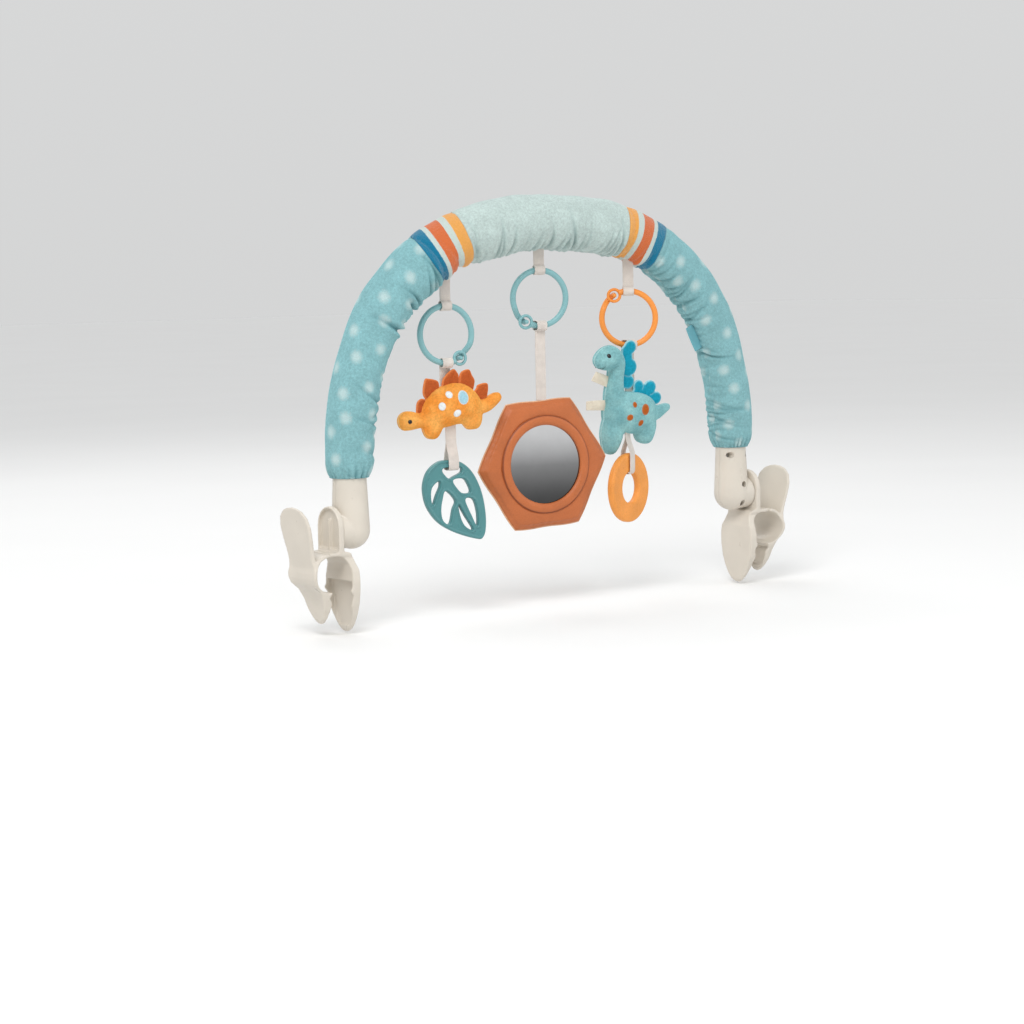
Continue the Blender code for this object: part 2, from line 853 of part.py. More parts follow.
def inner_jaw_profile():
    """Side view of the inner jaw: saddle, toothed jaw, face and lever tab."""
    face = RIM_INSET - INNER_JAW_FACE
    tab_end = tab_start + TAB_THICKNESS
    tooth = RIM_WIDTH * TOOTH_SHARE
    points = [(hinge_x - GAP / 2, 0)]
    points += arc(saddle_centre, SADDLE_CORNER, 90, 180, 5)
    for across_share, down_share in JAW_TEETH_SHARES:
        points.append((RIM_INSET + tooth * across_share, INNER_JAW_LENGTH * down_share))
    points.append((face + CLIP_WALL / 2, -INNER_JAW_LENGTH))
    points.append((face, -INNER_JAW_LENGTH * JAW_HEEL_SHARE))
    points.append((face, -SADDLE_CORNER))
    points.append((face + CLIP_WALL, -CLIP_WALL))
    points.append((face + 2 * CLIP_WALL, CLIP_WALL * JAW_NECK_SHARE))
    points.append((tab_start, CLIP_WALL * CLIP_SHOULDER_SHARE))
    points.append((tab_start, TAB_HEIGHT))
    points.append((tab_end, TAB_HEIGHT))
    points.append((tab_end, CLIP_WALL))
    points.append((hinge_x - GAP / 2, CLIP_WALL))
    return points


def inner_jaw_outline(inset, floor=None):
    """Front view of the inner jaw: round-topped tab, neck and pointed jaw."""
    tab_half = TAB_WIDTH / 2 - inset
    jaw_half = INNER_JAW_WIDTH / 2 - inset
    top = arc((0, TAB_HEIGHT - TAB_WIDTH / 2), tab_half, 0, 180, 9)
    if floor is not None:
        return [(tab_half, floor)] + top + [(-tab_half, floor)]
    side = []
    for down_share, width_share in INNER_OUTLINE_SHARES:
        side.append((jaw_half * width_share, (INNER_JAW_LENGTH - inset) * down_share))
    mirrored = [(-across, up) for across, up in side]
    return list(reversed(side)) + [(tab_half, 0)] + top + [(-tab_half, 0)] + mirrored


def spoon_point(across_share, down_share):
    """A point of the outer jaw below its hollow, as shares of hollow and spoon."""
    down = 2 * HOLLOW_RADIUS + spoon_length * down_share
    return hinge_x + HOLLOW_RADIUS * across_share, -down


def outer_jaw_profile():
    """Side view of the outer jaw: saddle, hollow, teeth, spoon and thumb paddle."""
    outer = HOLLOW_RADIUS + CLIP_WALL
    paddle_top = hinge_x + outer + PADDLE_LEAN
    points = [(hinge_x + GAP / 2 + HINGE_TAPER, CLIP_WALL)]
    points += arc(hollow_centre, outer, 70, 38, 4)
    points.append((paddle_top - CLIP_WALL, PADDLE_HEIGHT))
    points.append((paddle_top, PADDLE_HEIGHT))
    points += arc(hollow_centre, outer, 20, -25, 4)
    points += [spoon_point(*shares) for shares in SPOON_SHARES]
    points += arc(hollow_centre, HOLLOW_RADIUS, -100, 90, 11)[:-1]
    points.append((hinge_x + GAP / 2, 0))
    return points


def outer_jaw_outline(inset):
    """Front view of the outer jaw: paddle, waist, lobe and spoon."""
    half = PADDLE_WIDTH / 2 - inset
    drop = -OUTER_JAW_LENGTH / OUTER_OUTLINE_SHARES[-1][0]
    side = []
    for up_share, width_share in OUTER_OUTLINE_SHARES:
        if up_share > 0:
            up = (PADDLE_HEIGHT - inset) * up_share
        else:
            up = drop * up_share + inset * abs(up_share)
        side.append((half * width_share, up))
    mirrored = [(-across, up) for across, up in side[1:-1]]
    return side + list(reversed(mirrored))


def jaw_pocket(name, profile_points, outline, parent):
    """Hollow between a jaw's cheeks, from its toothed side."""
    deep = PADDLE_WIDTH
    pocket = add_cutter(name, flat_mesh(name, [profile_points], deep), parent)
    limits = flat_mesh(name + "_limits", [outline], deep * 2, plane="YZ")
    boolean(pocket, add_cutter(name + "_limits", limits, parent), "INTERSECT")
    return pocket


def make_clip(side, foot):
    """Both jaws of one clip, the inner one on its swivel and the outer on its flex line."""
    swivel = add_pivot(side + "_swivel", (0, 0, -ELBOW_DROP), parent=foot)
    seat = (0, 0, ELBOW_DROP - sleeve_end_height)
    rise = ELBOW_DROP - sleeve_end_height
    name = side + "_clip_inner_jaw"
    blank_width = PADDLE_WIDTH * BLANK_WIDTH_SHARE
    blank = flat_mesh(name, [inner_jaw_profile()], blank_width)
    jaw = add_part(name, blank, "cream_plastic", swivel)
    jaw.location = seat
    outline = flat_mesh(name + "_outline", [inner_jaw_outline(0)], RIM_WIDTH * 4, plane="YZ")
    limits = add_cutter(name + "_outline", outline, swivel)
    limits.location = seat
    boolean(jaw, limits, "INTERSECT")

    wall, top, bottom = INNER_POCKET_SHARES
    floor = RIM_INSET - INNER_JAW_FACE + CLIP_WALL * wall
    reach = RIM_INSET + RIM_WIDTH / 2
    pocket_points = [
        (floor, -INNER_JAW_LENGTH * top),
        (floor, -INNER_JAW_LENGTH * bottom),
        (reach, -INNER_JAW_LENGTH * bottom),
        (reach, -INNER_JAW_LENGTH * top),
    ]
    limits = inner_jaw_outline(CHEEK_WALL)
    pocket = jaw_pocket(name + "_pocket", pocket_points, limits, swivel)
    pocket.location = seat
    bpy.data.objects[name + "_pocket_limits"].location = seat
    boolean(jaw, pocket)

    floor = CLIP_WALL + TAB_FLOOR
    outline = inner_jaw_outline(TAB_FLOOR, floor)
    hollow = flat_mesh(name + "_hollow", [outline], TAB_THICKNESS, plane="YZ")
    for vertex in hollow.vertices:
        vertex.co.x += tab_start + TAB_FLOOR + TAB_THICKNESS / 2
    hollow_cutter = add_cutter(name + "_hollow", hollow, swivel)
    hollow_cutter.location = seat
    rib = box_mesh(
        name + "_rib",
        (tab_start, -TAB_RIB_WIDTH / 2, 0),
        (tab_start + TAB_THICKNESS, TAB_RIB_WIDTH / 2, TAB_HEIGHT * RIB_HEIGHT_SHARE),
    )
    rib_keeper = add_cutter(name + "_rib", rib, swivel)
    rib_keeper.location = seat
    boolean(hollow_cutter, rib_keeper)
    boolean(jaw, hollow_cutter)

    flange_end = LOWER_POST_REACH - POST_RADIUS - GAP
    stub = add_cutter(
        name + "_stub",
        cylinder_mesh(
            name + "_stub",
            STUB_RADIUS,
            flange_end - STUB_FLANGE_LENGTH,
            tab_start + TAB_FLOOR / 2,
            "X",
            centre=(0, 0, -rise),
        ),
        swivel,
    )
    stub.location = seat
    flange = add_cutter(
        name + "_flange",
        cylinder_mesh(
            name + "_flange",
            STUB_FLANGE_RADIUS,
            flange_end - STUB_FLANGE_LENGTH,
            flange_end,
            "X",
            centre=(0, 0, -rise),
        ),
        swivel,
    )
    flange.location = seat
    boolean(stub, flange, "UNION")
    boolean(jaw, stub, "UNION")

    lever = add_pivot(side + "_flex_line", (hinge_x, 0, rise), parent=swivel)
    name = side + "_clip_outer_jaw"
    blank = flat_mesh(name, [outer_jaw_profile()], blank_width)
    jaw = add_part(name, blank, "cream_plastic", lever)
    jaw.location = (-hinge_x, 0, 0)
    outline = flat_mesh(name + "_outline", [outer_jaw_outline(0)], RIM_WIDTH * 5, plane="YZ")
    limits = add_cutter(name + "_outline", outline, lever)
    limits.location = (-hinge_x, 0, 0)
    boolean(jaw, limits, "INTERSECT")
    pocket_points = [spoon_point(*shares) for shares in SPOON_POCKET_SHARES]
    limits = outer_jaw_outline(CHEEK_WALL)
    pocket = jaw_pocket(name + "_pocket", pocket_points, limits, lever)
    pocket.location = (-hinge_x, 0, 0)
    bpy.data.objects[name + "_pocket_limits"].location = (-hinge_x, 0, 0)
    boolean(jaw, pocket)


# Tapes and snap rings


def eye_points(across, up, squareness, start_degrees, end_degrees):
    """Points round an oval or a rounded oblong, from its top and back to it."""
    power = 2 / squareness
    points = []
    for degrees in np.linspace(start_degrees, end_degrees, EYE_POINTS + 1):
        sine = math.sin(math.radians(degrees))
        cosine = math.cos(math.radians(degrees))
        points.append(
            (
                across * math.copysign(abs(sine) ** power, sine),
                up * math.copysign(abs(cosine) ** power, cosine),
            )
        )
    return points


def eye_tape_mesh(name, width, stem, eye, squareness=2, below=False, shift=0):
    """A doubled tape with an eye round what it holds; the eye is at the origin."""
    eye_across, eye_up = eye
    outer = eye_across + TAPE_THICKNESS
    back = shift + TAPE_THICKNESS
    front = shift - TAPE_THICKNESS
    back_sine = min(back / outer, 1) ** (squareness / 2)
    front_sine = math.copysign(abs(front / outer) ** (squareness / 2), front)
    start = math.degrees(math.asin(back_sine))
    end = 360 + math.degrees(math.asin(front_sine))
    outside = eye_points(outer, eye_up + TAPE_THICKNESS, squareness, start, end)
    outside = [(back, stem), *outside, (front, stem)]
    inside = eye_points(eye_across, eye_up, squareness, 0, 360)[:-1]
    if below:
        outside = [(across, -up) for across, up in outside]
        inside = [(across, -up) for across, up in inside]
    return flat_mesh(name, [outside, inside], width, plane="YZ")


def snap_ring_mesh_parts(eyelet_degrees, direction):
    """Open wire, eyelet and peg place of a snap ring that stands in the XZ plane."""
    half_gap = math.degrees((EYELET_RADIUS - EYELET_WIRE_RADIUS / 2) / RING_RADIUS)
    step = RING_WIRE_RADIUS + EYELET_WIRE_RADIUS + RING_STEP_GAP
    turns = np.linspace(half_gap, 360, RING_POINTS)
    points = []
    for degrees in turns:
        ease = (degrees - 360 + CLIMB_DEGREES) / (CLIMB_DEGREES - half_gap)
        ease = min(max(ease, 0), 1)
        ease = ease * ease * (3 - 2 * ease)
        angle = math.radians(eyelet_degrees + direction * degrees)
        points.append(
            (RING_RADIUS * math.cos(angle), step * ease, RING_RADIUS * math.sin(angle))
        )
    angle = math.radians(eyelet_degrees)
    centre = (RING_RADIUS * math.cos(angle), 0, RING_RADIUS * math.sin(angle))
    eyelet = [
        (
            centre[0] + EYELET_RADIUS * math.cos(turn),
            0,
            centre[2] + EYELET_RADIUS * math.sin(turn),
        )
        for turn in np.linspace(0, 2 * math.pi, 13)[:-1]
    ]
    return points, eyelet, centre, step


def make_snap_ring(name, colour, eyelet_degrees, direction, hinge_place, parent):
    """Its wire runs from its eyelet in one direction, and its peg closes it."""
    wire, eyelet, centre, step = snap_ring_mesh_parts(eyelet_degrees, direction)
    ring = add_part(name, tube_mesh(name, wire, RING_WIRE_RADIUS), colour, parent)
    ring.location = hinge_place
    small = tube_mesh(name + "_eyelet", eyelet, EYELET_WIRE_RADIUS, True, 1)
    small_part = add_cutter(name + "_eyelet", small, parent)
    small_part.location = hinge_place
    peg = cylinder_mesh(
        name + "_peg", PEG_RADIUS, step - PEG_LENGTH, step, "Y", SMALL_SIDES, centre
    )
    peg_part = add_cutter(name + "_peg", peg, parent)
    peg_part.location = hinge_place
    boolean(ring, small_part, "UNION")
    boolean(ring, peg_part, "UNION")
    return ring


def make_hanger(side, across, drop, yaw, eyelet, colour, sleeve_cutter):
    """Upper tape and ring of one toy; returns the pivot at the ring's lowest wire."""
    underside = sleeve_underside(across)
    top = add_pivot(side + "_hanger", (across, 0, underside), (0, 0, -yaw))
    eye = RING_WIRE_RADIUS + EYE_GAP
    name = side + "_hanger_tape"
    mesh = eye_tape_mesh(name, TAPE_WIDTH, drop + APEX_RADIUS / 2, (eye, eye))
    tape = add_part(name, mesh, "tape", top)
    tape.location = (0, 0, -drop)
    boolean(tape, sleeve_cutter)
    swing = add_pivot(side + "_ring_swing", (0, 0, -drop), parent=top)
    make_snap_ring(side + "_ring", colour, *eyelet, (0, 0, -RING_RADIUS), swing)
    return swing


def twisted_eye(turn):
    """Half sizes of an eye whose wire crosses the tape at an angle."""
    eye = RING_WIRE_RADIUS + EYE_GAP
    spread = math.tan(abs(turn))
    return eye + TAPE_WIDTH / 2 * spread, eye + EYE_GAP * spread


# Plush pieces


def plush_mesh(name, section_shares, size, depth, sides=PLUSH_SIDES):
    """A stuffed limb: oval sections along a bent spine, given as shares."""
    spine = [Vector((across * size, 0, up * size)) for across, up, _, _ in section_shares]
    builder = bmesh.new()
    rings = []
    for index, (_, _, radius_share, depth_share) in enumerate(section_shares):
        before = spine[max(index - 1, 0)]
        after = spine[min(index + 1, len(spine) - 1)]
        along = (after - before).normalized()
        sideways = Vector((along.z, 0, -along.x))
        ring = []
        for corner in range(sides):
            angle = 2 * math.pi * corner / sides
            place = spine[index]
            reach = radius_share * size * PLUSH_CAGE_SHARE * math.cos(angle)
            deep = depth_share * depth / 2 * PLUSH_CAGE_SHARE * math.sin(angle)
            place = place + sideways * reach + Vector((0, deep, 0))
            ring.append(builder.verts.new(place))
        rings.append(ring)
    for first, second in zip(rings, rings[1:]):
        for corner in range(sides):
            following = (corner + 1) % sides
            builder.faces.new(
                (first[corner], first[following], second[following], second[corner])
            )
    builder.faces.new(list(reversed(rings[0])))
    builder.faces.new(rings[-1])
    bmesh.ops.recalc_face_normals(builder, faces=builder.faces)
    return finished(builder, name)


def add_plush(name, shares, size, depth, colour, place, parent, levels=1):
    piece = add_part(name, plush_mesh(name, shares, size, depth), colour, parent)
    piece.location = place
    subdivide(piece, levels)
    return piece


def plush_cutter(source, clearance, levels=1):
    """A larger copy of a plush piece, which its neighbours are cut by."""
    name = f"{source.name}_room"
    copy = add_cutter(name, source.data.copy(), source.parent)
    copy.location = source.location
    subdivide(copy, levels)
    grow(copy, clearance)
    return copy


# Left toy

STEGO_BODY_SHARES = (
    (-0.250, -0.150, 0.070, 0.40),
    (-0.170, -0.095, 0.150, 0.90),
    (-0.020, -0.015, 0.195, 1.05),
    (0.120, 0.005, 0.195, 1.05),
    (0.240, -0.040, 0.155, 0.90),
    (0.345, -0.045, 0.060, 0.40),
)
STEGO_HEAD_SHARES = (
    (-0.170, -0.135, 0.050, 0.46),
    (-0.235, -0.140, 0.062, 0.50),
    (-0.310, -0.140, 0.070, 0.60),
    (-0.415, -0.134, 0.106, 0.74),
    (-0.490, -0.146, 0.052, 0.38),
)
STEGO_FRONT_LEG_SHARES = (
    (-0.100, -0.060, 0.100, 0.60),
    (-0.150, -0.140, 0.112, 0.70),
    (-0.160, -0.230, 0.100, 0.70),
    (-0.172, -0.325, 0.056, 0.42),
)
STEGO_BACK_LEG_SHARES = (
    (0.200, -0.030, 0.100, 0.60),
    (0.235, -0.100, 0.112, 0.70),
    (0.240, -0.170, 0.104, 0.70),
    (0.240, -0.255, 0.060, 0.42),
)
STEGO_TAIL_SHARES = (
    (0.280, -0.050, 0.075, 0.50),
    (0.390, -0.035, 0.066, 0.46),
    (0.480, 0.030, 0.062, 0.42),
    (0.535, 0.065, 0.036, 0.26),
)
STEGO_PLATE_SHARES = (
    (
        (-0.31, -0.03),
        (-0.295, 0.03),
        (-0.25, 0.055),
        (-0.21, 0.03),
        (-0.15, -0.06),
        (-0.21, -0.12),
        (-0.30, -0.09),
    ),
    (
        (-0.24, 0.09),
        (-0.22, 0.22),
        (-0.18, 0.23),
        (-0.10, 0.21),
        (-0.08, 0.17),
        (-0.08, 0.05),
        (-0.17, 0.02),
    ),
    (
        (-0.05, 0.19),
        (-0.01, 0.257),
        (0.062, 0.307),
        (0.096, 0.285),
        (0.118, 0.233),
        (0.10, 0.11),
        (-0.03, 0.11),
    ),
    (
        (0.13, 0.26),
        (0.216, 0.30),
        (0.25, 0.247),
        (0.276, 0.184),
        (0.23, 0.07),
        (0.13, 0.11),
    ),
    (
        (0.29, 0.126),
        (0.31, 0.157),
        (0.404, 0.165),
        (0.40, 0.058),
        (0.364, 0.03),
        (0.29, -0.02),
        (0.22, 0.02),
    ),
)
LEAF_SHARES = (
    (-0.075, 0.048),
    (0.058, 0.037),
    (0.170, -0.017),
    (0.264, -0.109),
    (0.338, -0.233),
    (0.393, -0.375),
    (0.427, -0.532),
    (0.443, -0.707),
    (0.430, -0.862),
    (0.389, -0.937),
    (0.341, -0.946),
    (0.188, -0.906),
    (-0.002, -0.833),
    (-0.170, -0.736),
    (-0.281, -0.625),
    (-0.363, -0.483),
    (-0.396, -0.327),
    (-0.388, -0.209),
    (-0.343, -0.091),
    (-0.265, -0.010),
    (-0.170, 0.040),
)
LEAF_HOLE_SHARES = (
    (
        (-0.135, -0.090),
        (-0.105, -0.048),
        (0.095, -0.048),
        (0.118, -0.105),
        (0.015, -0.155),
        (-0.052, -0.178),
    ),
    (
        (-0.195, -0.220),
        (-0.181, -0.272),
        (-0.228, -0.372),
        (-0.268, -0.472),
        (-0.290, -0.385),
        (-0.273, -0.283),
    ),
    (
        (-0.095, -0.354),
        (0.016, -0.464),
        (-0.015, -0.557),
        (-0.056, -0.709),
        (-0.131, -0.669),
        (-0.153, -0.565),
        (-0.135, -0.446),
    ),
    (
        (0.022, -0.215),
        (0.147, -0.205),
        (0.212, -0.295),
        (0.220, -0.356),
        (0.143, -0.359),
        (0.086, -0.322),
    ),
    (
        (0.179, -0.465),
        (0.275, -0.472),
        (0.320, -0.612),
        (0.316, -0.759),
        (0.252, -0.642),
    ),
    (
        (0.081, -0.528),
        (0.156, -0.653),
        (0.248, -0.798),
        (0.218, -0.804),
        (0.153, -0.757),
        (0.107, -0.668),
    ),
)


def make_left_toy(sleeve_cutter):
    across = HANG_MIDDLE - HANG_SPACING
    swing = make_hanger(
        "left", across, LEFT_DROP, LEFT_YAW, (-58, -1), "teal_plastic", sleeve_cutter
    )
    toy = add_pivot("stego_swing", (0, 0, -2 * RING_RADIUS), parent=swing)
    centre = (0, 0, -STEGO_DROP)

    def plush(name, shares, colour="orange_plush"):
        return add_plush(name, shares, STEGO_LENGTH, STEGO_DEPTH, colour, centre, toy)

    body = plush("stego_body", STEGO_BODY_SHARES)
    room = plush_cutter(body, SOFT_GAP)
    head = boolean(plush("stego_head", STEGO_HEAD_SHARES), room)
    head_room = plush_cutter(head, SOFT_GAP)
    front_leg = boolean(plush("stego_front_leg", STEGO_FRONT_LEG_SHARES), head_room)
    boolean(front_leg, room)
    back_leg = boolean(plush("stego_back_leg", STEGO_BACK_LEG_SHARES), room)
    back_leg_room = plush_cutter(back_leg, SOFT_GAP)
    tail = boolean(plush("stego_tail", STEGO_TAIL_SHARES), room)
    boolean(tail, back_leg_room)
    tail_room = plush_cutter(tail, SOFT_GAP)
    end_rooms = {0: head_room, len(STEGO_PLATE_SHARES) - 1: tail_room}
    for index, shares in enumerate(STEGO_PLATE_SHARES):
        name = f"stego_plate_{index + 1}"
        mesh = flat_mesh(name, [scaled(shares, STEGO_LENGTH)], PLATE_THICKNESS)
        plate = add_part(name, mesh, "rust_plush", toy)
        plate.location = centre
        boolean(plate, room)
        if index in end_rooms:
            boolean(plate, end_rooms[index])

    eye = RING_WIRE_RADIUS + EYE_GAP
    mesh = eye_tape_mesh(
        "stego_loop", TAPE_WIDTH, STEGO_DROP, (eye, eye), below=True, shift=eye
    )
    boolean(add_part("stego_loop", mesh, "tape", toy), room)

    place = (LEAF_SHIFT, 0, -STEGO_DROP - LEAF_DROP)
    rim = LEAF_HEIGHT * LEAF_RIM_SHARE
    eye = (LEAF_THICKNESS / 2 + SWING_EYE_GAP, rim + SWING_EYE_GAP)
    mesh = eye_tape_mesh("leaf_tape", TAPE_WIDTH, LEAF_DROP, eye, 4)
    tape = add_part("leaf_tape", mesh, "tape", toy)
    tape.location = place
    boolean(tape, room)
    leaf_swing = add_pivot("leaf_swing", place, parent=toy)
    outline = scaled(LEAF_SHARES, LEAF_HEIGHT)
    mesh = flat_mesh("leaf_teether", [outline], LEAF_THICKNESS, LEAF_EDGE_RADIUS)
    leaf = add_part("leaf_teether", mesh, "teal_silicone", leaf_swing)
    holes = [scaled(LEAF_HOLE_SHARES[0], LEAF_HEIGHT)]
    for shares in LEAF_HOLE_SHARES[1:]:
        holes.append(widened(scaled(shares, LEAF_HEIGHT), HOLE_GROWTH_SHARE))
    mesh = flat_mesh("leaf_holes", holes, LEAF_THICKNESS + CUT_OVERRUN)
    boolean(leaf, add_cutter("leaf_holes", mesh, leaf_swing))


# Middle toy


def hexagon_radius(angle, corner_radius):
    """Radius of a hexagon with rounded corners at an angle."""
    flat = corner_radius * math.cos(math.pi / 6)
    sixth = math.pi / 3
    off = (angle + sixth / 2) % sixth - sixth / 2
    straight = flat / math.cos(abs(off) - sixth / 2)
    rounding = PAD_CORNER_ROUND * max(0, 1 - abs(off) / (sixth / 3)) ** 2
    drawn = PAD_SIDE_DRAW * math.sin(3 * off) ** 2
    return straight - rounding - drawn


def pad_ring(builder, hexagon_share, radius, depth):
    """A ring of points between a hexagon and a circle; the share says how far."""
    ring = []
    for index in range(PAD_POINTS):
        angle = 2 * math.pi * index / PAD_POINTS
        corner = hexagon_radius(angle, PAD_CORNER_RADIUS)
        flat = PAD_CORNER_RADIUS * math.cos(math.pi / 6)
        blend = corner / flat
        reach = radius * (hexagon_share * blend + 1 - hexagon_share)
        turn = angle + PAD_ROLL
        ring.append(
            builder.verts.new((reach * math.cos(turn), depth, reach * math.sin(turn)))
        )
    return ring


def lofted(name, rows, close_front=False, close_back=False, cyclic=False):
    """A skin over rings of (hexagon share, radius, depth)."""
    builder = bmesh.new()
    rings = [pad_ring(builder, *row) for row in rows]
    pairs = list(zip(rings, rings[1:]))
    if cyclic:
        pairs.append((rings[-1], rings[0]))
    for first, second in pairs:
        for index in range(PAD_POINTS):
            following = (index + 1) % PAD_POINTS
            builder.faces.new(
                (first[index], first[following], second[following], second[index])
            )
    if close_front:
        builder.faces.new(rings[0])
    if close_back:
        builder.faces.new(rings[-1])
    bmesh.ops.recalc_face_normals(builder, faces=builder.faces)
    return finished(builder, name)


def make_middle_toy(sleeve_cutter):
    swing = make_hanger(
        "center",
        HANG_MIDDLE,
        MIDDLE_DROP,
        MIDDLE_RING_YAW,
        (-122, 1),
        "teal_plastic",
        sleeve_cutter,
    )
    turn = MIDDLE_RING_YAW - MIRROR_YAW
    toy = add_pivot("mirror_swing", (0, 0, -2 * RING_RADIUS), (0, 0, turn), swing)
    centre = (0, 0, -MIRROR_DROP)
    flat = PAD_CORNER_RADIUS * math.cos(math.pi / 6)
    top = PAD_DEPTH
    edge = PAD_EDGE_DEPTH
    welt = WELT_OUTER_RADIUS
    opening = MIRROR_VIEW_RADIUS
    wall = PANEL_WALL
    disc_radius = opening + DISC_MARGIN
    disc_back = -top + 2 * wall + GAP
    front_rise = -top * PAD_FRONT_SHARE
    back_rise = top * PAD_BACK_SHARE
    shoulder = PAD_SHOULDER_SHARE
    round_share = PAD_WELT_SHARE
    middle = (flat * 2 + welt) / 3
    back_flat = welt * PAD_BACK_FLAT_SHARE
    skin = [
        (1.0, flat, -GAP / 2),
        (1.0, flat - edge, -edge - wall),
        (shoulder, middle, front_rise),
        (round_share, welt, -top),
        (0.0, (welt + opening) / 2, -top - WELT_RISE),
        (0.0, opening, -top),
    ]
    lining = [
        (0.0, opening, -top + wall),
        (round_share, welt, -top + wall),
        (shoulder, middle - wall / 2, front_rise + wall),
        (1.0, flat - edge - 2 * wall, -edge),
        (1.0, flat - 2 * wall, -GAP / 2),
    ]
    front = lofted("mirror_front_panel", skin + lining, cyclic=True)
    add_part("mirror_front_panel", front, "tan_leather", toy).location = centre

    back_rows = [
        (1.0, flat, GAP / 2),
        (1.0, flat - edge, edge + wall),
        (shoulder, middle, back_rise),
        (round_share, back_flat, top),
    ]
    back_lining = [
        (round_share, back_flat, top - wall),
        (shoulder, middle - wall / 2, back_rise - wall),
        (1.0, flat - edge - 2 * wall, edge),
        (1.0, flat - 2 * wall, GAP / 2),
    ]
    back = make_back_panel(back_rows, back_lining)
    add_part("mirror_back_panel", back, "tan_leather", toy).location = centre

    room = SOFT_GAP
    disc_front = -top + wall + GAP
    padding_rows = [
        (0.0, disc_radius + room, disc_back + room),
        (0.0, disc_radius + room, disc_front + room),
        (round_share, welt, -top + wall + room),
        (shoulder, middle - wall / 2 - room, front_rise + wall + room),
        (1.0, flat - edge - 2 * wall - room, -edge + room),
        (1.0, flat - edge - 2 * wall - room, edge - room),
        (shoulder, middle - wall / 2 - room, back_rise - wall - room),
        (round_share, back_flat, top - wall - room),
    ]
    padding = lofted("mirror_padding", padding_rows, True, True)
    add_part("mirror_padding", padding, "foam", toy).location = centre
    disc = cylinder_mesh(
        "mirror_disc", disc_radius, disc_front, disc_back, "Y", PAD_POINTS
    )
    add_part("mirror_disc", disc, "mirror_film", toy).location = centre

    eye = twisted_eye(turn)
    stem = MIRROR_DROP - flat / math.cos(PAD_ROLL) - SOFT_GAP
    mesh = eye_tape_mesh("mirror_tape", TAPE_WIDTH, stem, eye, 3, below=True)
    tape = add_part("mirror_tape", mesh, "tape", toy)
    return tape


def make_back_panel(skin, lining):
    """A closed shell: its skin and its lining are each capped."""
    builder = bmesh.new()
    rings = [pad_ring(builder, *row) for row in reversed(skin)]
    rings += [pad_ring(builder, *row) for row in reversed(lining)]
    for first, second in zip(rings, rings[1:]):
        for index in range(PAD_POINTS):
            following = (index + 1) % PAD_POINTS
            builder.faces.new(
                (first[index], first[following], second[following], second[index])
            )
    builder.faces.new(rings[0])
    builder.faces.new(rings[-1])
    bmesh.ops.recalc_face_normals(builder, faces=builder.faces)
    return finished(builder, "mirror_back_panel")


# Right toy

BRONTO_HEAD_SHARES = (
    (-0.395, -0.140, 0.050, 0.40),
    (-0.315, -0.100, 0.108, 0.82),
    (-0.215, -0.075, 0.122, 0.88),
    (-0.150, -0.120, 0.095, 0.75),
    (-0.155, -0.220, 0.086, 0.66),
    (-0.165, -0.330, 0.096, 0.74),
    (-0.172, -0.430, 0.108, 0.80),
    (-0.150, -0.540, 0.110, 0.80),
)
BRONTO_BODY_SHARES = (
    (-0.275, -0.560, 0.110, 0.55),
    (-0.170, -0.565, 0.180, 1.00),
    (0.010, -0.580, 0.190, 1.08),
    (0.140, -0.585, 0.178, 1.02),
    (0.262, -0.610, 0.085, 0.55),
)
BRONTO_FRONT_LEG_SHARES = (
    (-0.165, -0.600, 0.105, 0.66),
    (-0.172, -0.700, 0.112, 0.74),
    (-0.176, -0.830, 0.104, 0.70),
    (-0.180, -0.955, 0.062, 0.46),
)
BRONTO_BACK_LEG_SHARES = (
    (0.140, -0.600, 0.100, 0.66),
    (0.165, -0.690, 0.112, 0.74),
    (0.165, -0.780, 0.102, 0.70),
    (0.160, -0.868, 0.060, 0.46),
)
BRONTO_TAIL_SHARES = (
    (0.200, -0.600, 0.080, 0.50),
    (0.300, -0.590, 0.056, 0.40),
    (0.370, -0.545, 0.044, 0.32),
    (0.410, -0.535, 0.024, 0.20),
)
NECK_SPINE_SHARES = (
    (-0.030, 0.000, 0.058),
    (-0.012, -0.178, 0.078),
    (-0.038, -0.296, 0.054),
)
NECK_SPINE_BASE_SHARES = ((-0.110, -0.370), (-0.130, -0.010))
BACK_SPINE_SHARES = (
    (0.068, -0.344, 0.051),
    (0.188, -0.365, 0.064),
    (0.258, -0.462, 0.058),
)
SCALLOP_TRIM_DEGREES = 24
BACK_SPINE_BASE_SHARES = ((0.170, -0.560), (0.000, -0.440))
UPPER_TAG_SHARES = (
    (-0.41, -0.283),
    (-0.372, -0.203),
    (-0.19, -0.27),
    (-0.19, -0.37),
)
LOWER_TAG_SHARES = (
    (-0.445, -0.463),
    (-0.445, -0.54),
    (-0.22, -0.553),
    (-0.22, -0.457),
)


def scallop_outline(discs, base, size):
    """Three scallops in a row on a base line inside the toy."""
    outline = [(base[0][0] * size, base[0][1] * size)]
    ordered = list(reversed(discs))
    for index, (across, up, radius) in enumerate(ordered):
        first = ordered[index - 1] if index else (*base[0], 0)
        second = ordered[index + 1] if index + 1 < len(ordered) else (*base[1], 0)
        start = math.degrees(math.atan2(first[1] - up, first[0] - across))
        end = math.degrees(math.atan2(second[1] - up, second[0] - across))
        span = (end - start) % 360
        trim = SCALLOP_TRIM_DEGREES
        outline += arc(
            (across * size, up * size),
            radius * size,
            start + trim,
            start + span - trim,
            7,
        )
    outline.append((base[1][0] * size, base[1][1] * size))
    return outline


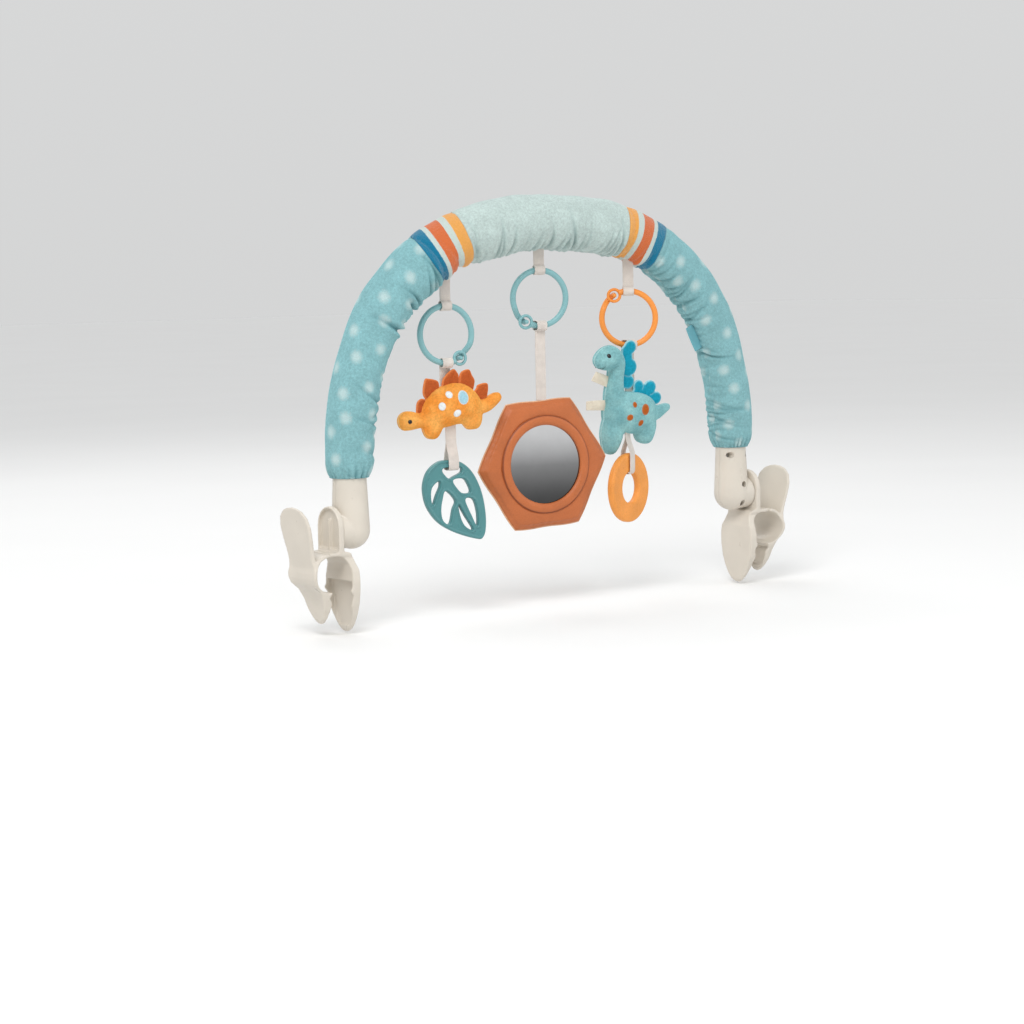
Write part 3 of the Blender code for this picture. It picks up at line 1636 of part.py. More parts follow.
def make_right_toy(sleeve_cutter):
    across = HANG_MIDDLE + HANG_SPACING
    swing = make_hanger(
        "right",
        across,
        RIGHT_DROP,
        RIGHT_RING_YAW,
        (122, -1),
        "orange_plastic",
        sleeve_cutter,
    )
    turn = RIGHT_RING_YAW - BRONTO_YAW
    toy = add_pivot(
        "bronto_swing", (0, 0, -2 * RING_RADIUS), (0, 0, turn), swing
    )
    lean = add_pivot("bronto_lean", (0, 0, 0), (BRONTO_LEAN, 0, 0), toy)
    place = (0, -BRONTO_STANDOFF, 0)

    def plush(name, shares):
        size = (BRONTO_HEIGHT, BRONTO_DEPTH)
        return add_plush(name, shares, *size, "teal_plush", place, lean)

    body = plush("bronto_body", BRONTO_BODY_SHARES)
    body_room = plush_cutter(body, SOFT_GAP)
    head = boolean(plush("bronto_head", BRONTO_HEAD_SHARES), body_room)
    head_room = plush_cutter(head, SOFT_GAP)
    boolean(plush("bronto_front_leg", BRONTO_FRONT_LEG_SHARES), body_room)
    back_leg = boolean(plush("bronto_back_leg", BRONTO_BACK_LEG_SHARES), body_room)
    tail = boolean(plush("bronto_tail", BRONTO_TAIL_SHARES), body_room)
    boolean(tail, plush_cutter(back_leg, SOFT_GAP))

    size = BRONTO_HEIGHT
    neck = scallop_outline(NECK_SPINE_SHARES, NECK_SPINE_BASE_SHARES, size)
    back = scallop_outline(BACK_SPINE_SHARES, BACK_SPINE_BASE_SHARES, size)
    upper_tag = scaled(UPPER_TAG_SHARES, size)
    lower_tag = scaled(LOWER_TAG_SHARES, size)
    felt = (SPINE_THICKNESS, "blue_plush")
    ribbon = (RIBBON_THICKNESS, "tape")
    flats = (
        ("bronto_neck_spines", neck, felt, (head_room,)),
        ("bronto_back_spines", back, felt, (body_room,)),
        ("bronto_upper_tag", upper_tag, ribbon, (head_room,)),
        ("bronto_lower_tag", lower_tag, ribbon, (body_room, head_room)),
    )
    for name, outline, (thickness, colour), rooms in flats:
        piece = add_part(name, flat_mesh(name, [outline], thickness), colour, lean)
        piece.location = place
        for room in rooms:
            boolean(piece, room)

    return toy, body, head_room, turn


def make_right_loop_and_teether(toy, body, head_room, turn):
    eye = twisted_eye(turn)
    stem = BRONTO_HEIGHT * BRONTO_STEM_SHARE
    mesh = eye_tape_mesh("bronto_loop", TAPE_WIDTH, stem, eye, 3, below=True)
    boolean(add_part("bronto_loop", mesh, "tape", toy), head_room)

    place = (TEETHER_SHIFT, 0, -TEETHER_HINGE_DROP)
    section = (TEETHER_RADIUS - TEETHER_HOLE_RADIUS) / 2
    teether_turn = BRONTO_YAW - TEETHER_YAW
    swing = add_pivot("teether_swing", place, (0, 0, teether_turn), toy)
    eye = (TEETHER_THICKNESS / 2 + EYE_GAP, section + EYE_GAP)
    hang = TEETHER_DROP - TEETHER_HINGE_DROP
    stem = TEETHER_DROP - BRONTO_HEIGHT * TEETHER_STEM_SHARE
    mesh = eye_tape_mesh("teether_tape", TEETHER_TAPE_WIDTH, stem, eye, 4)
    tape = add_part("teether_tape", mesh, "tape", swing)
    tape.location = (0, 0, -hang)
    boolean(tape, plush_cutter(body, TEETHER_TAPE_GAP))

    half = TEETHER_THICKNESS / 2
    edge = TEETHER_EDGE_RADIUS
    outline = []
    corners = (
        (TEETHER_RADIUS - edge, half - edge, 90, 0),
        (TEETHER_RADIUS - edge, -half + edge, 0, -90),
        (TEETHER_HOLE_RADIUS + edge, -half + edge, -90, -180),
        (TEETHER_HOLE_RADIUS + edge, half - edge, -180, -270),
    )
    for across, up, start, end in corners:
        outline += arc((across, up), edge, start, end, 3)
    mesh = profile_mesh("ring_teether", outline, True)
    teether = turned(add_part("ring_teether", mesh, "orange_silicone", swing), TEETHER_SIDES)
    teether.rotation_euler = (math.pi / 2, 0, 0)
    teether.location = (0, 0, -hang - (TEETHER_RADIUS + TEETHER_HOLE_RADIUS) / 2)


def main():
    make_arch()
    sleeve_cutter = make_sleeve_cutter("sleeve_room", TAPE_TOP_GAP)
    make_side_tag(sleeve_cutter)
    for side in ("left", "right"):
        foot = make_elbow(side)
        make_clip(side, foot)
    make_left_toy(sleeve_cutter)
    make_middle_toy(sleeve_cutter)
    make_right_loop_and_teether(*make_right_toy(sleeve_cutter))


main()
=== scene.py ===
import math

import bpy
import numpy as np
from mathutils import Matrix, Vector


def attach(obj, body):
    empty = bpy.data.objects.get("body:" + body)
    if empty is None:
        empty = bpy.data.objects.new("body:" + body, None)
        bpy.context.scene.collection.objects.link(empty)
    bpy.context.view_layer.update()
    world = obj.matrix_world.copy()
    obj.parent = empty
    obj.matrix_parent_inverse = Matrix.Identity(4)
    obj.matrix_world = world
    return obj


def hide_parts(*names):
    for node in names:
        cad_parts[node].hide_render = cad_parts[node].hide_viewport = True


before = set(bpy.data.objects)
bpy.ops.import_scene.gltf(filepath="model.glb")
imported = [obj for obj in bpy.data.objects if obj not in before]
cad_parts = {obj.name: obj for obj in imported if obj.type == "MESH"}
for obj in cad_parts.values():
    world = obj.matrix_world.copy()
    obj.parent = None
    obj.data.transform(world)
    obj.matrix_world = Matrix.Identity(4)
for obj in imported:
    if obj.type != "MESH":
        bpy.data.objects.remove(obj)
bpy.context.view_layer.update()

print("frame loaded:", len(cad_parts), "nodes")

# camera, floor and light

view = {
    "place": (-1.5245, -1.9271, 0.267),
    "right": (0.7932, -0.6086, -0.0199),
    "up": (0.0764, 0.0671, 0.9948),
    "forward": (0.6041, 0.7907, -0.0997),
    "lens": 85.0,
    "sensor": 36.0,
}

studio = {
    "floorHeight": -0.0776,
    "floorSize": 30.0,
    "floorColour": (0.88, 0.88, 0.875),
    # the surround is as bright as the far floor at its foot, and brighter overhead
    "lowSurround": (0.664, 0.668, 0.668),
    "highSurround": (0.80, 0.805, 0.81),
    # place, aimed at, size, power
    "lights": (
        ((-1.5, -1.3, 1.9), (0.0, 0.0, 0.12), 1.1, 34.0),
        ((1.7, -1.5, 1.0), (0.0, 0.0, 0.12), 1.6, 7.0),
        ((0.3, 1.6, 1.8), (0.0, 0.0, 0.15), 1.4, 10.0),
    ),
}


def setCamera():
    data = bpy.data.cameras.new("photoCamera")
    data.lens = view["lens"]
    data.sensor_width = view["sensor"]
    data.clip_start = 0.05
    data.clip_end = 60
    camera = addObject("photoCamera", data)
    axes = (view["right"], view["up"], [-x for x in view["forward"]])
    turn = Matrix(axes).transposed().to_quaternion().to_matrix()
    camera.matrix_world = Matrix.Translation(view["place"]) @ turn.to_4x4()
    bpy.context.scene.camera = camera


# small tools for modelling


def deselectAll():
    if bpy.context.object and bpy.context.object.mode != "OBJECT":
        bpy.ops.object.mode_set(mode="OBJECT")
    bpy.ops.object.select_all(action="DESELECT")


def activate(piece):
    deselectAll()
    piece.select_set(True)
    bpy.context.view_layer.objects.active = piece


def takeNew(name):
    # the primitive that was just added, with its turn and place in its mesh
    piece = bpy.context.object
    piece.name = name
    piece.data.name = name
    activate(piece)
    bpy.ops.object.transform_apply(location=True, rotation=True, scale=True)
    return piece


def addObject(name, data):
    piece = bpy.data.objects.new(name, data)
    bpy.context.scene.collection.objects.link(piece)
    return piece


def readVertices(piece, kind):
    values = np.zeros(len(piece.data.vertices) * 3)
    piece.data.vertices.foreach_get(kind, values)
    return values.reshape(-1, 3)


def getPoints(piece):
    return readVertices(piece, "co")


def setPoints(piece, points):
    piece.data.vertices.foreach_set("co", np.ascontiguousarray(points, float).ravel())
    piece.data.update()


def pushOut(piece, lift):
    # each point goes along its own normal
    setPoints(piece, getPoints(piece) + readVertices(piece, "normal") * lift[:, None])


def bake(piece, kind, **settings):
    step = piece.modifiers.new(kind.lower(), kind)
    for key, value in settings.items():
        setattr(step, key, value)
    activate(piece)
    bpy.ops.object.modifier_apply(modifier=step.name)
    return piece


def weld(piece, distance=0.00001):
    activate(piece)
    bpy.ops.object.mode_set(mode="EDIT")
    bpy.ops.mesh.select_all(action="SELECT")
    bpy.ops.mesh.remove_doubles(threshold=distance)
    bpy.ops.mesh.normals_make_consistent(inside=False)
    bpy.ops.object.mode_set(mode="OBJECT")
    return piece


def join(name, pieces):
    deselectAll()
    for piece in pieces:
        piece.select_set(True)
    bpy.context.view_layer.objects.active = pieces[0]
    if len(pieces) > 1:
        bpy.ops.object.join()
    pieces[0].name = name
    pieces[0].data.name = name
    return pieces[0]


def remesh(piece, size, smoothing=0):
    activate(piece)
    piece.data.remesh_voxel_size = size
    piece.data.use_remesh_preserve_volume = False
    bpy.ops.object.voxel_remesh()
    if smoothing:
        bake(piece, "SMOOTH", factor=0.5, iterations=smoothing)
    return piece


def subtract(piece, cutter, operation="DIFFERENCE", keep=False):
    bake(piece, "BOOLEAN", object=cutter, operation=operation, solver="MANIFOLD")
    if not keep:
        bpy.data.objects.remove(cutter)
    return piece


def copyPiece(piece, name, place):
    copy = addObject(name, piece.data.copy())
    copy.data.transform(place)
    return copy


def copyNode(name, node):
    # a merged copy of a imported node's mesh, as a blank for finer work
    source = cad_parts[node]
    piece = copyPiece(source, name, source.matrix_world)
    piece.data.materials.clear()
    return weld(piece, 0.000005)


def addCylinder(name, radius, start, end, axis="Z", centre=(0, 0, 0), sides=48):
    deselectAll()
    turn = {"X": (0, math.pi / 2, 0), "Y": (-math.pi / 2, 0, 0), "Z": (0, 0, 0)}[axis]
    along = Vector({"X": (1, 0, 0), "Y": (0, 1, 0), "Z": (0, 0, 1)}[axis])
    bpy.ops.mesh.primitive_cylinder_add(
        vertices=sides, radius=radius, depth=end - start,
        location=Vector(centre) + along * (start + end) / 2, rotation=turn,
    )
    return takeNew(name)


def addBall(name, radius, centre, segments=32, rings=16):
    deselectAll()
    bpy.ops.mesh.primitive_uv_sphere_add(
        segments=segments, ring_count=rings, radius=radius, location=centre
    )
    return takeNew(name)


def wrapGrid(name, columns, rows, place, size=(1, 1), tone=None, backwards=False):
    # a grid whose points go where place(u, v) says, with its UV map in metres, which runs backwards in u
    # if it has to; tone(u, v) goes into its "seam" attribute, the tint mask, which on the sleeve is
    # painted shade in the folds
    deselectAll()
    bpy.ops.mesh.primitive_grid_add(x_subdivisions=columns, y_subdivisions=rows, size=1)
    piece = takeNew(name)
    u, v = (getPoints(piece)[:, :2] + 0.5).T
    setPoints(piece, place(u, v))
    if tone:
        markTint(piece, tone(u, v))
    layer = piece.data.uv_layers.active.data
    uv = np.zeros(len(layer) * 2)
    layer.foreach_get("uv", uv)
    uv = uv.reshape(-1, 2)
    if backwards:
        uv[:, 0] = 1 - uv[:, 0]
    layer.foreach_set("uv", (uv * size).ravel())
    return weld(piece)


# the "seam" attribute: a per-point mask by which finishes mix in a second colour; it is painted shade in
# the sleeve's folds and gathers and in the mirror pad's welt groove, painted highlight along the plush
# toys' side seams, paler edges on felt and on blue and brown embroidery, and a darker edge on white
# embroidery
def markTint(piece, values):
    layer = piece.data.attributes.new("seam", "FLOAT", "POINT")
    layer.data.foreach_set("value", np.ascontiguousarray(values, np.float32))


def bell(off, width):
    # 1 in the middle of a line, nearly nothing at twice its width
    return np.exp(-((off / width) ** 2))


def ease(share):
    return share * share * (3 - 2 * share)


def curveThrough(a, b, c, d, t):
    # the smooth line between b and c, with the points before and after them
    return 0.5 * (2 * b + (c - a) * t + (2 * a - 5 * b + 4 * c - d) * t * t
                  + (3 * b - a - 3 * c + d) * t ** 3)


def smoothLoop(points, count):
    # an even closed line through the points
    points = np.asarray(points, float)
    fine = []
    for index in range(len(points)):
        corners = [points[(index + k) % len(points)] for k in (-1, 0, 1, 2)]
        fine += [curveThrough(*corners, t) for t in np.linspace(0, 1, 12, endpoint=False)]
    return evenLoop(np.array(fine), count)


def distancesAlong(line):
    return np.concatenate([[0], np.cumsum(np.linalg.norm(np.diff(line, axis=0), axis=1))])


def evenLoop(line, count):
    ring = np.vstack([line, line[:1]])
    along = distancesAlong(ring)
    places = np.linspace(0, along[-1], count, endpoint=False)
    return np.stack([np.interp(places, along, ring[:, k]) for k in (0, 1)], axis=1)


def flatPiece(name, loops, thickness):
    # a plate in the XZ plane from closed lines; inner lines are holes
    deselectAll()
    curve = bpy.data.curves.new(name, "CURVE")
    curve.dimensions = "2D"
    curve.fill_mode = "BOTH"
    curve.extrude = thickness / 2
    for loop in loops:
        spline = curve.splines.new("POLY")
        spline.use_cyclic_u = True
        spline.points.add(len(loop) - 1)
        points = np.column_stack([loop, np.zeros(len(loop)), np.ones(len(loop))])
        spline.points.foreach_set("co", points.ravel())
    activate(addObject(name, curve))
    bpy.ops.object.convert(target="MESH")
    piece = bpy.context.object
    piece.data.transform(Matrix.Rotation(math.pi / 2, 4, "X"))
    return weld(piece)


def distanceTo(loop, points):
    # how far each flat point is from a closed line
    best = np.full(len(points), 1e9)
    for a, b in zip(loop, np.roll(loop, -1, axis=0)):
        way = b - a
        share = np.clip(((points - a) @ way) / max(way @ way, 1e-18), 0, 1)
        best = np.minimum(best, np.linalg.norm(points - a - share[:, None] * way, axis=1))
    return best


def roundedEdge(off, edge):
    # how full a padded edge is, by the distance from its outline
    return np.sqrt(np.clip(1 - (1 - np.clip(off / edge, 0, 1)) ** 2, 0, 1))


def repeatPiece(name, source, places):
    # one small shape set down many times, as a single mesh
    points, faces = getPoints(source), [tuple(f.vertices) for f in source.data.polygons]
    every, sides = [], []
    for index, place in enumerate(places):
        turn = np.array(place)
        every.append(points @ turn[:3, :3].T + turn[:3, 3])
        sides += [tuple(v + index * len(points) for v in face) for face in faces]
    mesh = bpy.data.meshes.new(name)
    mesh.from_pydata(np.vstack(every).tolist(), [], sides)
    bpy.data.objects.remove(source)
    return addObject(name, mesh)


def aim(place, along, up):
    # X runs along, Z stands up off the surface
    x = Vector(along).normalized()
    y = Vector(up).cross(x).normalized()
    z = x.cross(y)
    turn = Matrix((x, y, z)).transposed().to_4x4()
    return Matrix.Translation(place) @ turn


def addStitch(length, width, height):
    deselectAll()
    bpy.ops.mesh.primitive_uv_sphere_add(segments=8, ring_count=6, radius=0.5)
    piece = takeNew("stitch")
    piece.data.transform(Matrix.Diagonal((length, width, height * 2, 1)))
    return piece


def thicken(piece, thickness, rounding, segments):
    # ribbon and tape: cloth on both sides of the middle, with rounded edges
    bake(piece, "SOLIDIFY", thickness=thickness, offset=0)
    settings = {"limit_method": "ANGLE", "angle_limit": math.radians(50)}
    return bake(piece, "BEVEL", width=rounding, segments=segments, **settings)


def finishPiece(piece, name, body, finish, nodes="", place=None, angle=None):
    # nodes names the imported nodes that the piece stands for
    if place is not None:
        piece.data.transform(place)
    piece.name = name
    piece.data.name = name
    piece.data.materials.clear()
    piece.data.materials.append(finishes[finish])
    activate(piece)
    if angle:
        bpy.ops.object.shade_smooth_by_angle(angle=math.radians(angle))
    else:
        bpy.ops.object.shade_smooth()
    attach(piece, body)
    if nodes:
        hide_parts(*nodes.split())


def keepNode(node, finish):
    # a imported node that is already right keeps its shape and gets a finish
    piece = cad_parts[node]
    piece.data.materials.clear()
    piece.data.materials.append(finishes[finish])


def hang(place, yaw, lean=0, shift=(0, 0, 0)):
    yawed = Matrix.Rotation(math.radians(-yaw), 4, "Z")
    leaned = Matrix.Rotation(math.radians(lean), 4, "X")
    return Matrix.Translation(place) @ yawed @ leaned @ Matrix.Translation(shift)


# finishes

finishes = {}


def startFinish(name, roughness, **more):
    # a new finish: its nodes, its shader and the object's own coordinates
    finish = bpy.data.materials.new(name)
    finish.use_nodes = True
    finishes[name] = finish
    tree = finish.node_tree
    shader = tree.nodes["Principled BSDF"]
    for key, value in {"Roughness": roughness, **more}.items():
        fillSocket(tree, shader.inputs[key.replace("_", " ")], value)
    return tree, shader, addNode(tree, "TexCoord").outputs["Object"]


def fillSocket(tree, socket, value):
    # with a number, a colour, or what another node gives
    if isinstance(value, bpy.types.NodeSocket):
        tree.links.new(value, socket)
    elif socket.type == "RGBA":
        socket.default_value = (*value, 1)
    else:
        socket.default_value = value


def addNode(tree, kind, inputs=None, **settings):
    node = tree.nodes.new("ShaderNode" + kind)
    for key, value in settings.items():
        setattr(node, key, value)
    for key, value in (inputs or {}).items():
        fillSocket(tree, node.inputs[key], value)
    return node


def noiseOf(tree, vector, scale, detail=2.0, roughness=0.5):
    inputs = {"Vector": vector, "Scale": scale, "Detail": detail, "Roughness": roughness}
    return addNode(tree, "TexNoise", inputs).outputs["Fac"]


def rampOf(tree, factor, stops, sharp=False):
    node = addNode(tree, "ValToRGB", {"Fac": factor})
    ramp = node.color_ramp
    ramp.interpolation = "CONSTANT" if sharp else "LINEAR"
    while len(ramp.elements) < len(stops):
        ramp.elements.new(0.5)
    for element, (place, colour) in zip(ramp.elements, stops):
        element.position = place
        grey = isinstance(colour, (int, float))
        element.color = (colour, colour, colour, 1) if grey else (*colour, 1)
    return node.outputs["Color"]


def mottleOf(tree, vector, scale, detail, low, high, start=0.3, end=0.7, roughness=0.5):
    # patches of two shades, or of two roughnesses
    noise = noiseOf(tree, vector, scale, detail, roughness)
    return rampOf(tree, noise, ((start, low), (end, high)))


def mixOf(tree, factor, first, second, kind="MIX"):
    inputs = {0: factor, 6: first, 7: second}
    return addNode(tree, "Mix", inputs, data_type="RGBA", blend_type=kind).outputs[2]


def timesOf(tree, first, second):
    return mixOf(tree, 1.0, first, second, "MULTIPLY")


def mathOf(tree, kind, *values):
    return addNode(tree, "Math", dict(enumerate(values)), operation=kind).outputs[0]


def uvOf(tree):
    return addNode(tree, "UVMap", uv_map="UVMap").outputs["UV"]


# reads the tint mask, for painted shade and painted highlight
def tintOf(tree):
    return addNode(tree, "Attribute", attribute_name="seam").outputs["Fac"]


def dress(tree, shader, colour, bumps=(), roughness=None):
    # bumps are pairs of a height and its depth in metres
    tree.links.new(colour, shader.inputs["Base Color"])
    if roughness:
        tree.links.new(roughness, shader.inputs["Roughness"])
    normal = None
    for height, distance in bumps:
        inputs = {"Height": height, "Distance": distance, "Strength": 1.0}
        if normal:
            inputs["Normal"] = normal
        normal = addNode(tree, "Bump", inputs).outputs["Normal"]
    if normal:
        tree.links.new(normal, shader.inputs["Normal"])


def shade(colour, share):
    return tuple(min(c * share, 1.0) for c in colour)


nap = {
    "roughness": 0.93, "sheenRoughness": 0.45, "shine": 0.15,
    "print": {"scale": (38, 36, 1), "turn": (0, 0, 0.5), "loose": 0.35, "ragged": 0.24},
    "bandRepeat": 0.052,
}


def napFinish(name, sheen, tint):
    return startFinish(
        name, nap["roughness"], Sheen_Weight=sheen, Sheen_Roughness=nap["sheenRoughness"],
        Sheen_Tint=tint, Specular_IOR_Level=nap["shine"],
    )


def clothFinish(name, colour, pile=0.0007, tintColour=None, sheen=0.45, low=None, high=None, printed=None):
    # short plush: blotchy nap, fine fibres, a sheen, and a second colour mixed in by the tint mask:
    # painted shade in the sleeve's folds, painted highlight along the plush toys' side seams, paler edges
    # on felt and on blue and brown embroidery, a darker edge on white embroidery; low and high are the
    # shades of the nap where it is rubbed down and where it stands up
    tree, shader, place = napFinish(name, sheen, shade(colour, 1.7))
    low, high = low or shade(colour, 0.93), high or shade(colour, 1.05)
    tone = mottleOf(tree, place, 60, 4, low, high, 0.32, 0.68)
    tone = timesOf(tree, tone, mottleOf(tree, place, 420, 2, 0.86, 1.09, 0.32, 0.68, 0.6))
    if printed:
        style = nap["print"]
        inputs = {"Vector": uvOf(tree), "Rotation": style["turn"], "Scale": style["scale"]}
        turned = addNode(tree, "Mapping", inputs).outputs[0]
        inputs = {"Vector": turned, "Scale": 1.0, "Randomness": style["loose"]}
        cells = addNode(tree, "TexVoronoi", inputs, voronoi_dimensions="2D").outputs["Distance"]
        ragged = mathOf(tree, "MULTIPLY", noiseOf(tree, place, 420, 3, 0.7), style["ragged"])
        mask = rampOf(tree, mathOf(tree, "ADD", cells, ragged), ((0.20, 0.85), (0.40, 0.0)))
        tone = mixOf(tree, mask, tone, printed)
    if tintColour:
        tone = mixOf(tree, tintOf(tree), tone, tintColour)
    fibres = noiseOf(tree, place, 1300, 4, 0.75)
    tone = timesOf(tree, tone, rampOf(tree, fibres, ((0.3, 0.80), (0.7, 1.12))))
    dress(tree, shader, tone, ((noiseOf(tree, place, 320, 3, 0.6), pile * 1.6), (fibres, pile)))


def bandFinish(name, ground, bands):
    # pale cloth with woven bands; UV's u is the distance from the panel's inner seam
    tree, shader, place = napFinish(name, 0.35, (1, 0.97, 0.93))
    across = addNode(tree, "SeparateXYZ", {"Vector": uvOf(tree)}).outputs["X"]
    fibres = noiseOf(tree, place, 1500, 3, 0.7)
    wander = mathOf(tree, "SUBTRACT", noiseOf(tree, place, 500, 2), 0.5)
    across = mathOf(tree, "ADD", across, mathOf(tree, "MULTIPLY", wander, 0.0010))
    across = mathOf(tree, "MULTIPLY", across, 1 / nap["bandRepeat"])
    stops = [(0.0, ground)]
    for start, end, colour in bands:
        stops += [(start / nap["bandRepeat"], colour), (end / nap["bandRepeat"], ground)]
    tone = rampOf(tree, across, stops, sharp=True)
    tone = timesOf(tree, tone, rampOf(tree, fibres, ((0.3, 0.82), (0.7, 1.10))))
    dress(tree, shader, tone, ((noiseOf(tree, place, 320, 3, 0.6), 0.0010), (fibres, 0.0007)))


def plasticFinish(name, colour, roughness, grain=0.00004):
    tree, shader, place = startFinish(name, roughness, Specular_IOR_Level=0.5)
    tone = mottleOf(tree, place, 28, 2, shade(colour, 0.95), shade(colour, 1.03))
    rough = mottleOf(tree, place, 90, 4, roughness - 0.07, roughness + 0.10, end=0.75)
    dress(tree, shader, tone, ((noiseOf(tree, place, 1400, 2), grain),), rough)


def pebbleFinish(name, colour, scale, depth, roughness, crease, groove=None):
    # leather grain, or the fine pebbles of a rubber ring; groove is painted shade, a darker colour mixed
    # in by the tint mask along a sewn groove
    tree, shader, place = startFinish(name, roughness)
    inputs = {"Vector": place, "Scale": scale, "Randomness": 0.9}
    cells = addNode(tree, "TexVoronoi", inputs, feature="SMOOTH_F1").outputs["Distance"]
    blotch = mottleOf(tree, place, 35, 3, shade(colour, 0.88), shade(colour, 1.06))
    if groove:
        blotch = mixOf(tree, tintOf(tree), blotch, groove)
    tone = timesOf(tree, blotch, rampOf(tree, cells, ((0.15, 1.0), (0.75, crease))))
    rough = mottleOf(tree, place, 220, 3, roughness - 0.08, roughness + 0.12)
    hollow = mathOf(tree, "SUBTRACT", 1.0, cells)
    dress(tree, shader, tone, ((noiseOf(tree, place, 120, 3), depth * 1.5), (hollow, depth)), rough)


def tapeFinish(name, colour, rib):
    # twill webbing; UV in metres, u across and v along
    tree, shader, place = startFinish(name, 0.85, Sheen_Weight=0.2, Specular_IOR_Level=0.2)
    uv, waves = uvOf(tree), []
    for direction, spacing, bend, detail in (("DIAGONAL", 6.28, 0.6, 1.0), ("Y", 5.2, 0.4, 2.0)):
        inputs = {"Vector": uv, "Scale": rib / spacing, "Distortion": bend, "Detail": detail}
        waves.append(addNode(tree, "TexWave", inputs, bands_direction=direction).outputs["Fac"])
    weave = mathOf(tree, "MULTIPLY", *waves)
    soil = mottleOf(tree, place, 110, 3, shade(colour, 0.90), shade(colour, 1.05))
    tone = timesOf(tree, soil, rampOf(tree, weave, ((0.0, 0.90), (0.8, 1.03))))
    dress(tree, shader, tone, ((noiseOf(tree, place, 600, 2), 0.0002), (weave, 0.00012)))


def metalFinish(name, colour, roughness, ripple=0.0, grain=900, paintedReflection=None):
    # the last argument is a painted reflection of a dark surround: the film is darker from one height
    # down to another, by this share
    tree, shader, place = startFinish(name, roughness, Metallic=1.0)
    tone = mottleOf(tree, place, 60, 3, shade(colour, 0.94), colour)
    if paintedReflection:
        top, foot, share = paintedReflection
        height = addNode(tree, "SeparateXYZ", {"Vector": place}).outputs["Z"]
        inputs = {"Value": height, "From Min": foot, "From Max": top}
        fall = addNode(tree, "MapRange", inputs, interpolation_type="SMOOTHSTEP").outputs["Result"]
        tone = timesOf(tree, tone, rampOf(tree, fall, ((0.0, share), (0.5, share * 3.8), (1.0, 1.0))))
    rough = mottleOf(tree, place, 160, 3, roughness * 0.8, roughness * 1.4, start=0.35)
    bumps = ((noiseOf(tree, place, 22, 1), ripple), (noiseOf(tree, place, grain, 2), 0.00001))
    dress(tree, shader, tone, bumps, rough)


# aquaCloth and seafoamCloth: the dark second colour is painted shade, mixed into the sleeve's creases and
# gathers by the tint mask
clothFinish("aquaCloth", (0.250, 0.485, 0.515), tintColour=(0.085, 0.24, 0.27), printed=(0.53, 0.68, 0.675))
clothFinish("seafoamCloth", (0.53, 0.645, 0.615), tintColour=(0.25, 0.37, 0.36))
bandFinish("stripeCloth", (0.56, 0.65, 0.61), (
    (0.0028, 0.0133, (0.80, 0.37, 0.085)),
    (0.0198, 0.0318, (0.66, 0.150, 0.040)),
    (0.0363, 0.0505, (0.006, 0.185, 0.32)),
))
# the toys' paler second colours are painted highlight, mixed in along their side seams by the tint mask
clothFinish(
    "orangePlush", (0.95, 0.38, 0.065), tintColour=(1.0, 0.62, 0.30),
    low=(0.90, 0.29, 0.040), high=(1.0, 0.46, 0.11),
)
clothFinish(
    "tealPlush", (0.250, 0.520, 0.540), tintColour=(0.46, 0.70, 0.70),
    low=(0.190, 0.430, 0.460), high=(0.310, 0.590, 0.600),
)
clothFinish("rustFelt", (0.48, 0.100, 0.024), 0.0004, (0.80, 0.25, 0.08), 0.3)
clothFinish("blueFelt", (0.010, 0.32, 0.46), 0.0004, (0.36, 0.66, 0.72), 0.3)
clothFinish("whiteThread", (0.82, 0.84, 0.84), 0.0003, (0.62, 0.66, 0.66), 0.2)
clothFinish("blueThread", (0.36, 0.60, 0.70), 0.0003, (0.78, 0.84, 0.86), 0.2)
clothFinish("brownThread", (0.46, 0.105, 0.016), 0.0003, (0.52, 0.26, 0.14), 0.2)
clothFinish("foamPad", (0.75, 0.74, 0.70), 0.0004, sheen=0.1)
tapeFinish("wovenTape", (0.72, 0.655, 0.60), 3400)
tapeFinish("ribbon", (0.82, 0.74, 0.60), 3800)
tapeFinish("sideRibbon", (0.17, 0.46, 0.53), 3800)
tapeFinish("paleThread", (0.85, 0.78, 0.68), 4000)
plasticFinish("creamPlastic", (0.66, 0.605, 0.525), 0.34)
plasticFinish("tealPlastic", (0.215, 0.43, 0.45), 0.42)
plasticFinish("orangePlastic", (0.86, 0.29, 0.045), 0.40)
plasticFinish("corePlastic", (0.78, 0.78, 0.76), 0.5)
plasticFinish("leafSilicone", (0.080, 0.245, 0.255), 0.32, 0.00006)
plasticFinish("eyeThread", (0.012, 0.012, 0.014), 0.25)
pebbleFinish("ringRubber", (0.90, 0.34, 0.060), 900, 0.00022, 0.48, 0.86)
# its last colour is painted shade in the welt groove
pebbleFinish("tanLeather", (0.53, 0.142, 0.037), 900, 0.00014, 0.46, 0.90, (0.20, 0.045, 0.014))
pebbleFinish("paleLeather", (0.75, 0.42, 0.24), 760, 0.00012, 0.55, 0.85)
# dark stitches along the welt: painted shade of its groove
pebbleFinish("grooveShade", (0.16, 0.035, 0.012), 900, 0.0001, 0.7, 0.8)
# the film's darker lower part is painted reflection of a dark surround
metalFinish("mirrorFilm", (0.90, 0.90, 0.91), 0.055, 0.0006, paintedReflection=(0.112, 0.026, 0.10))
metalFinish("screwSteel", (0.55, 0.55, 0.56), 0.32, grain=1500)


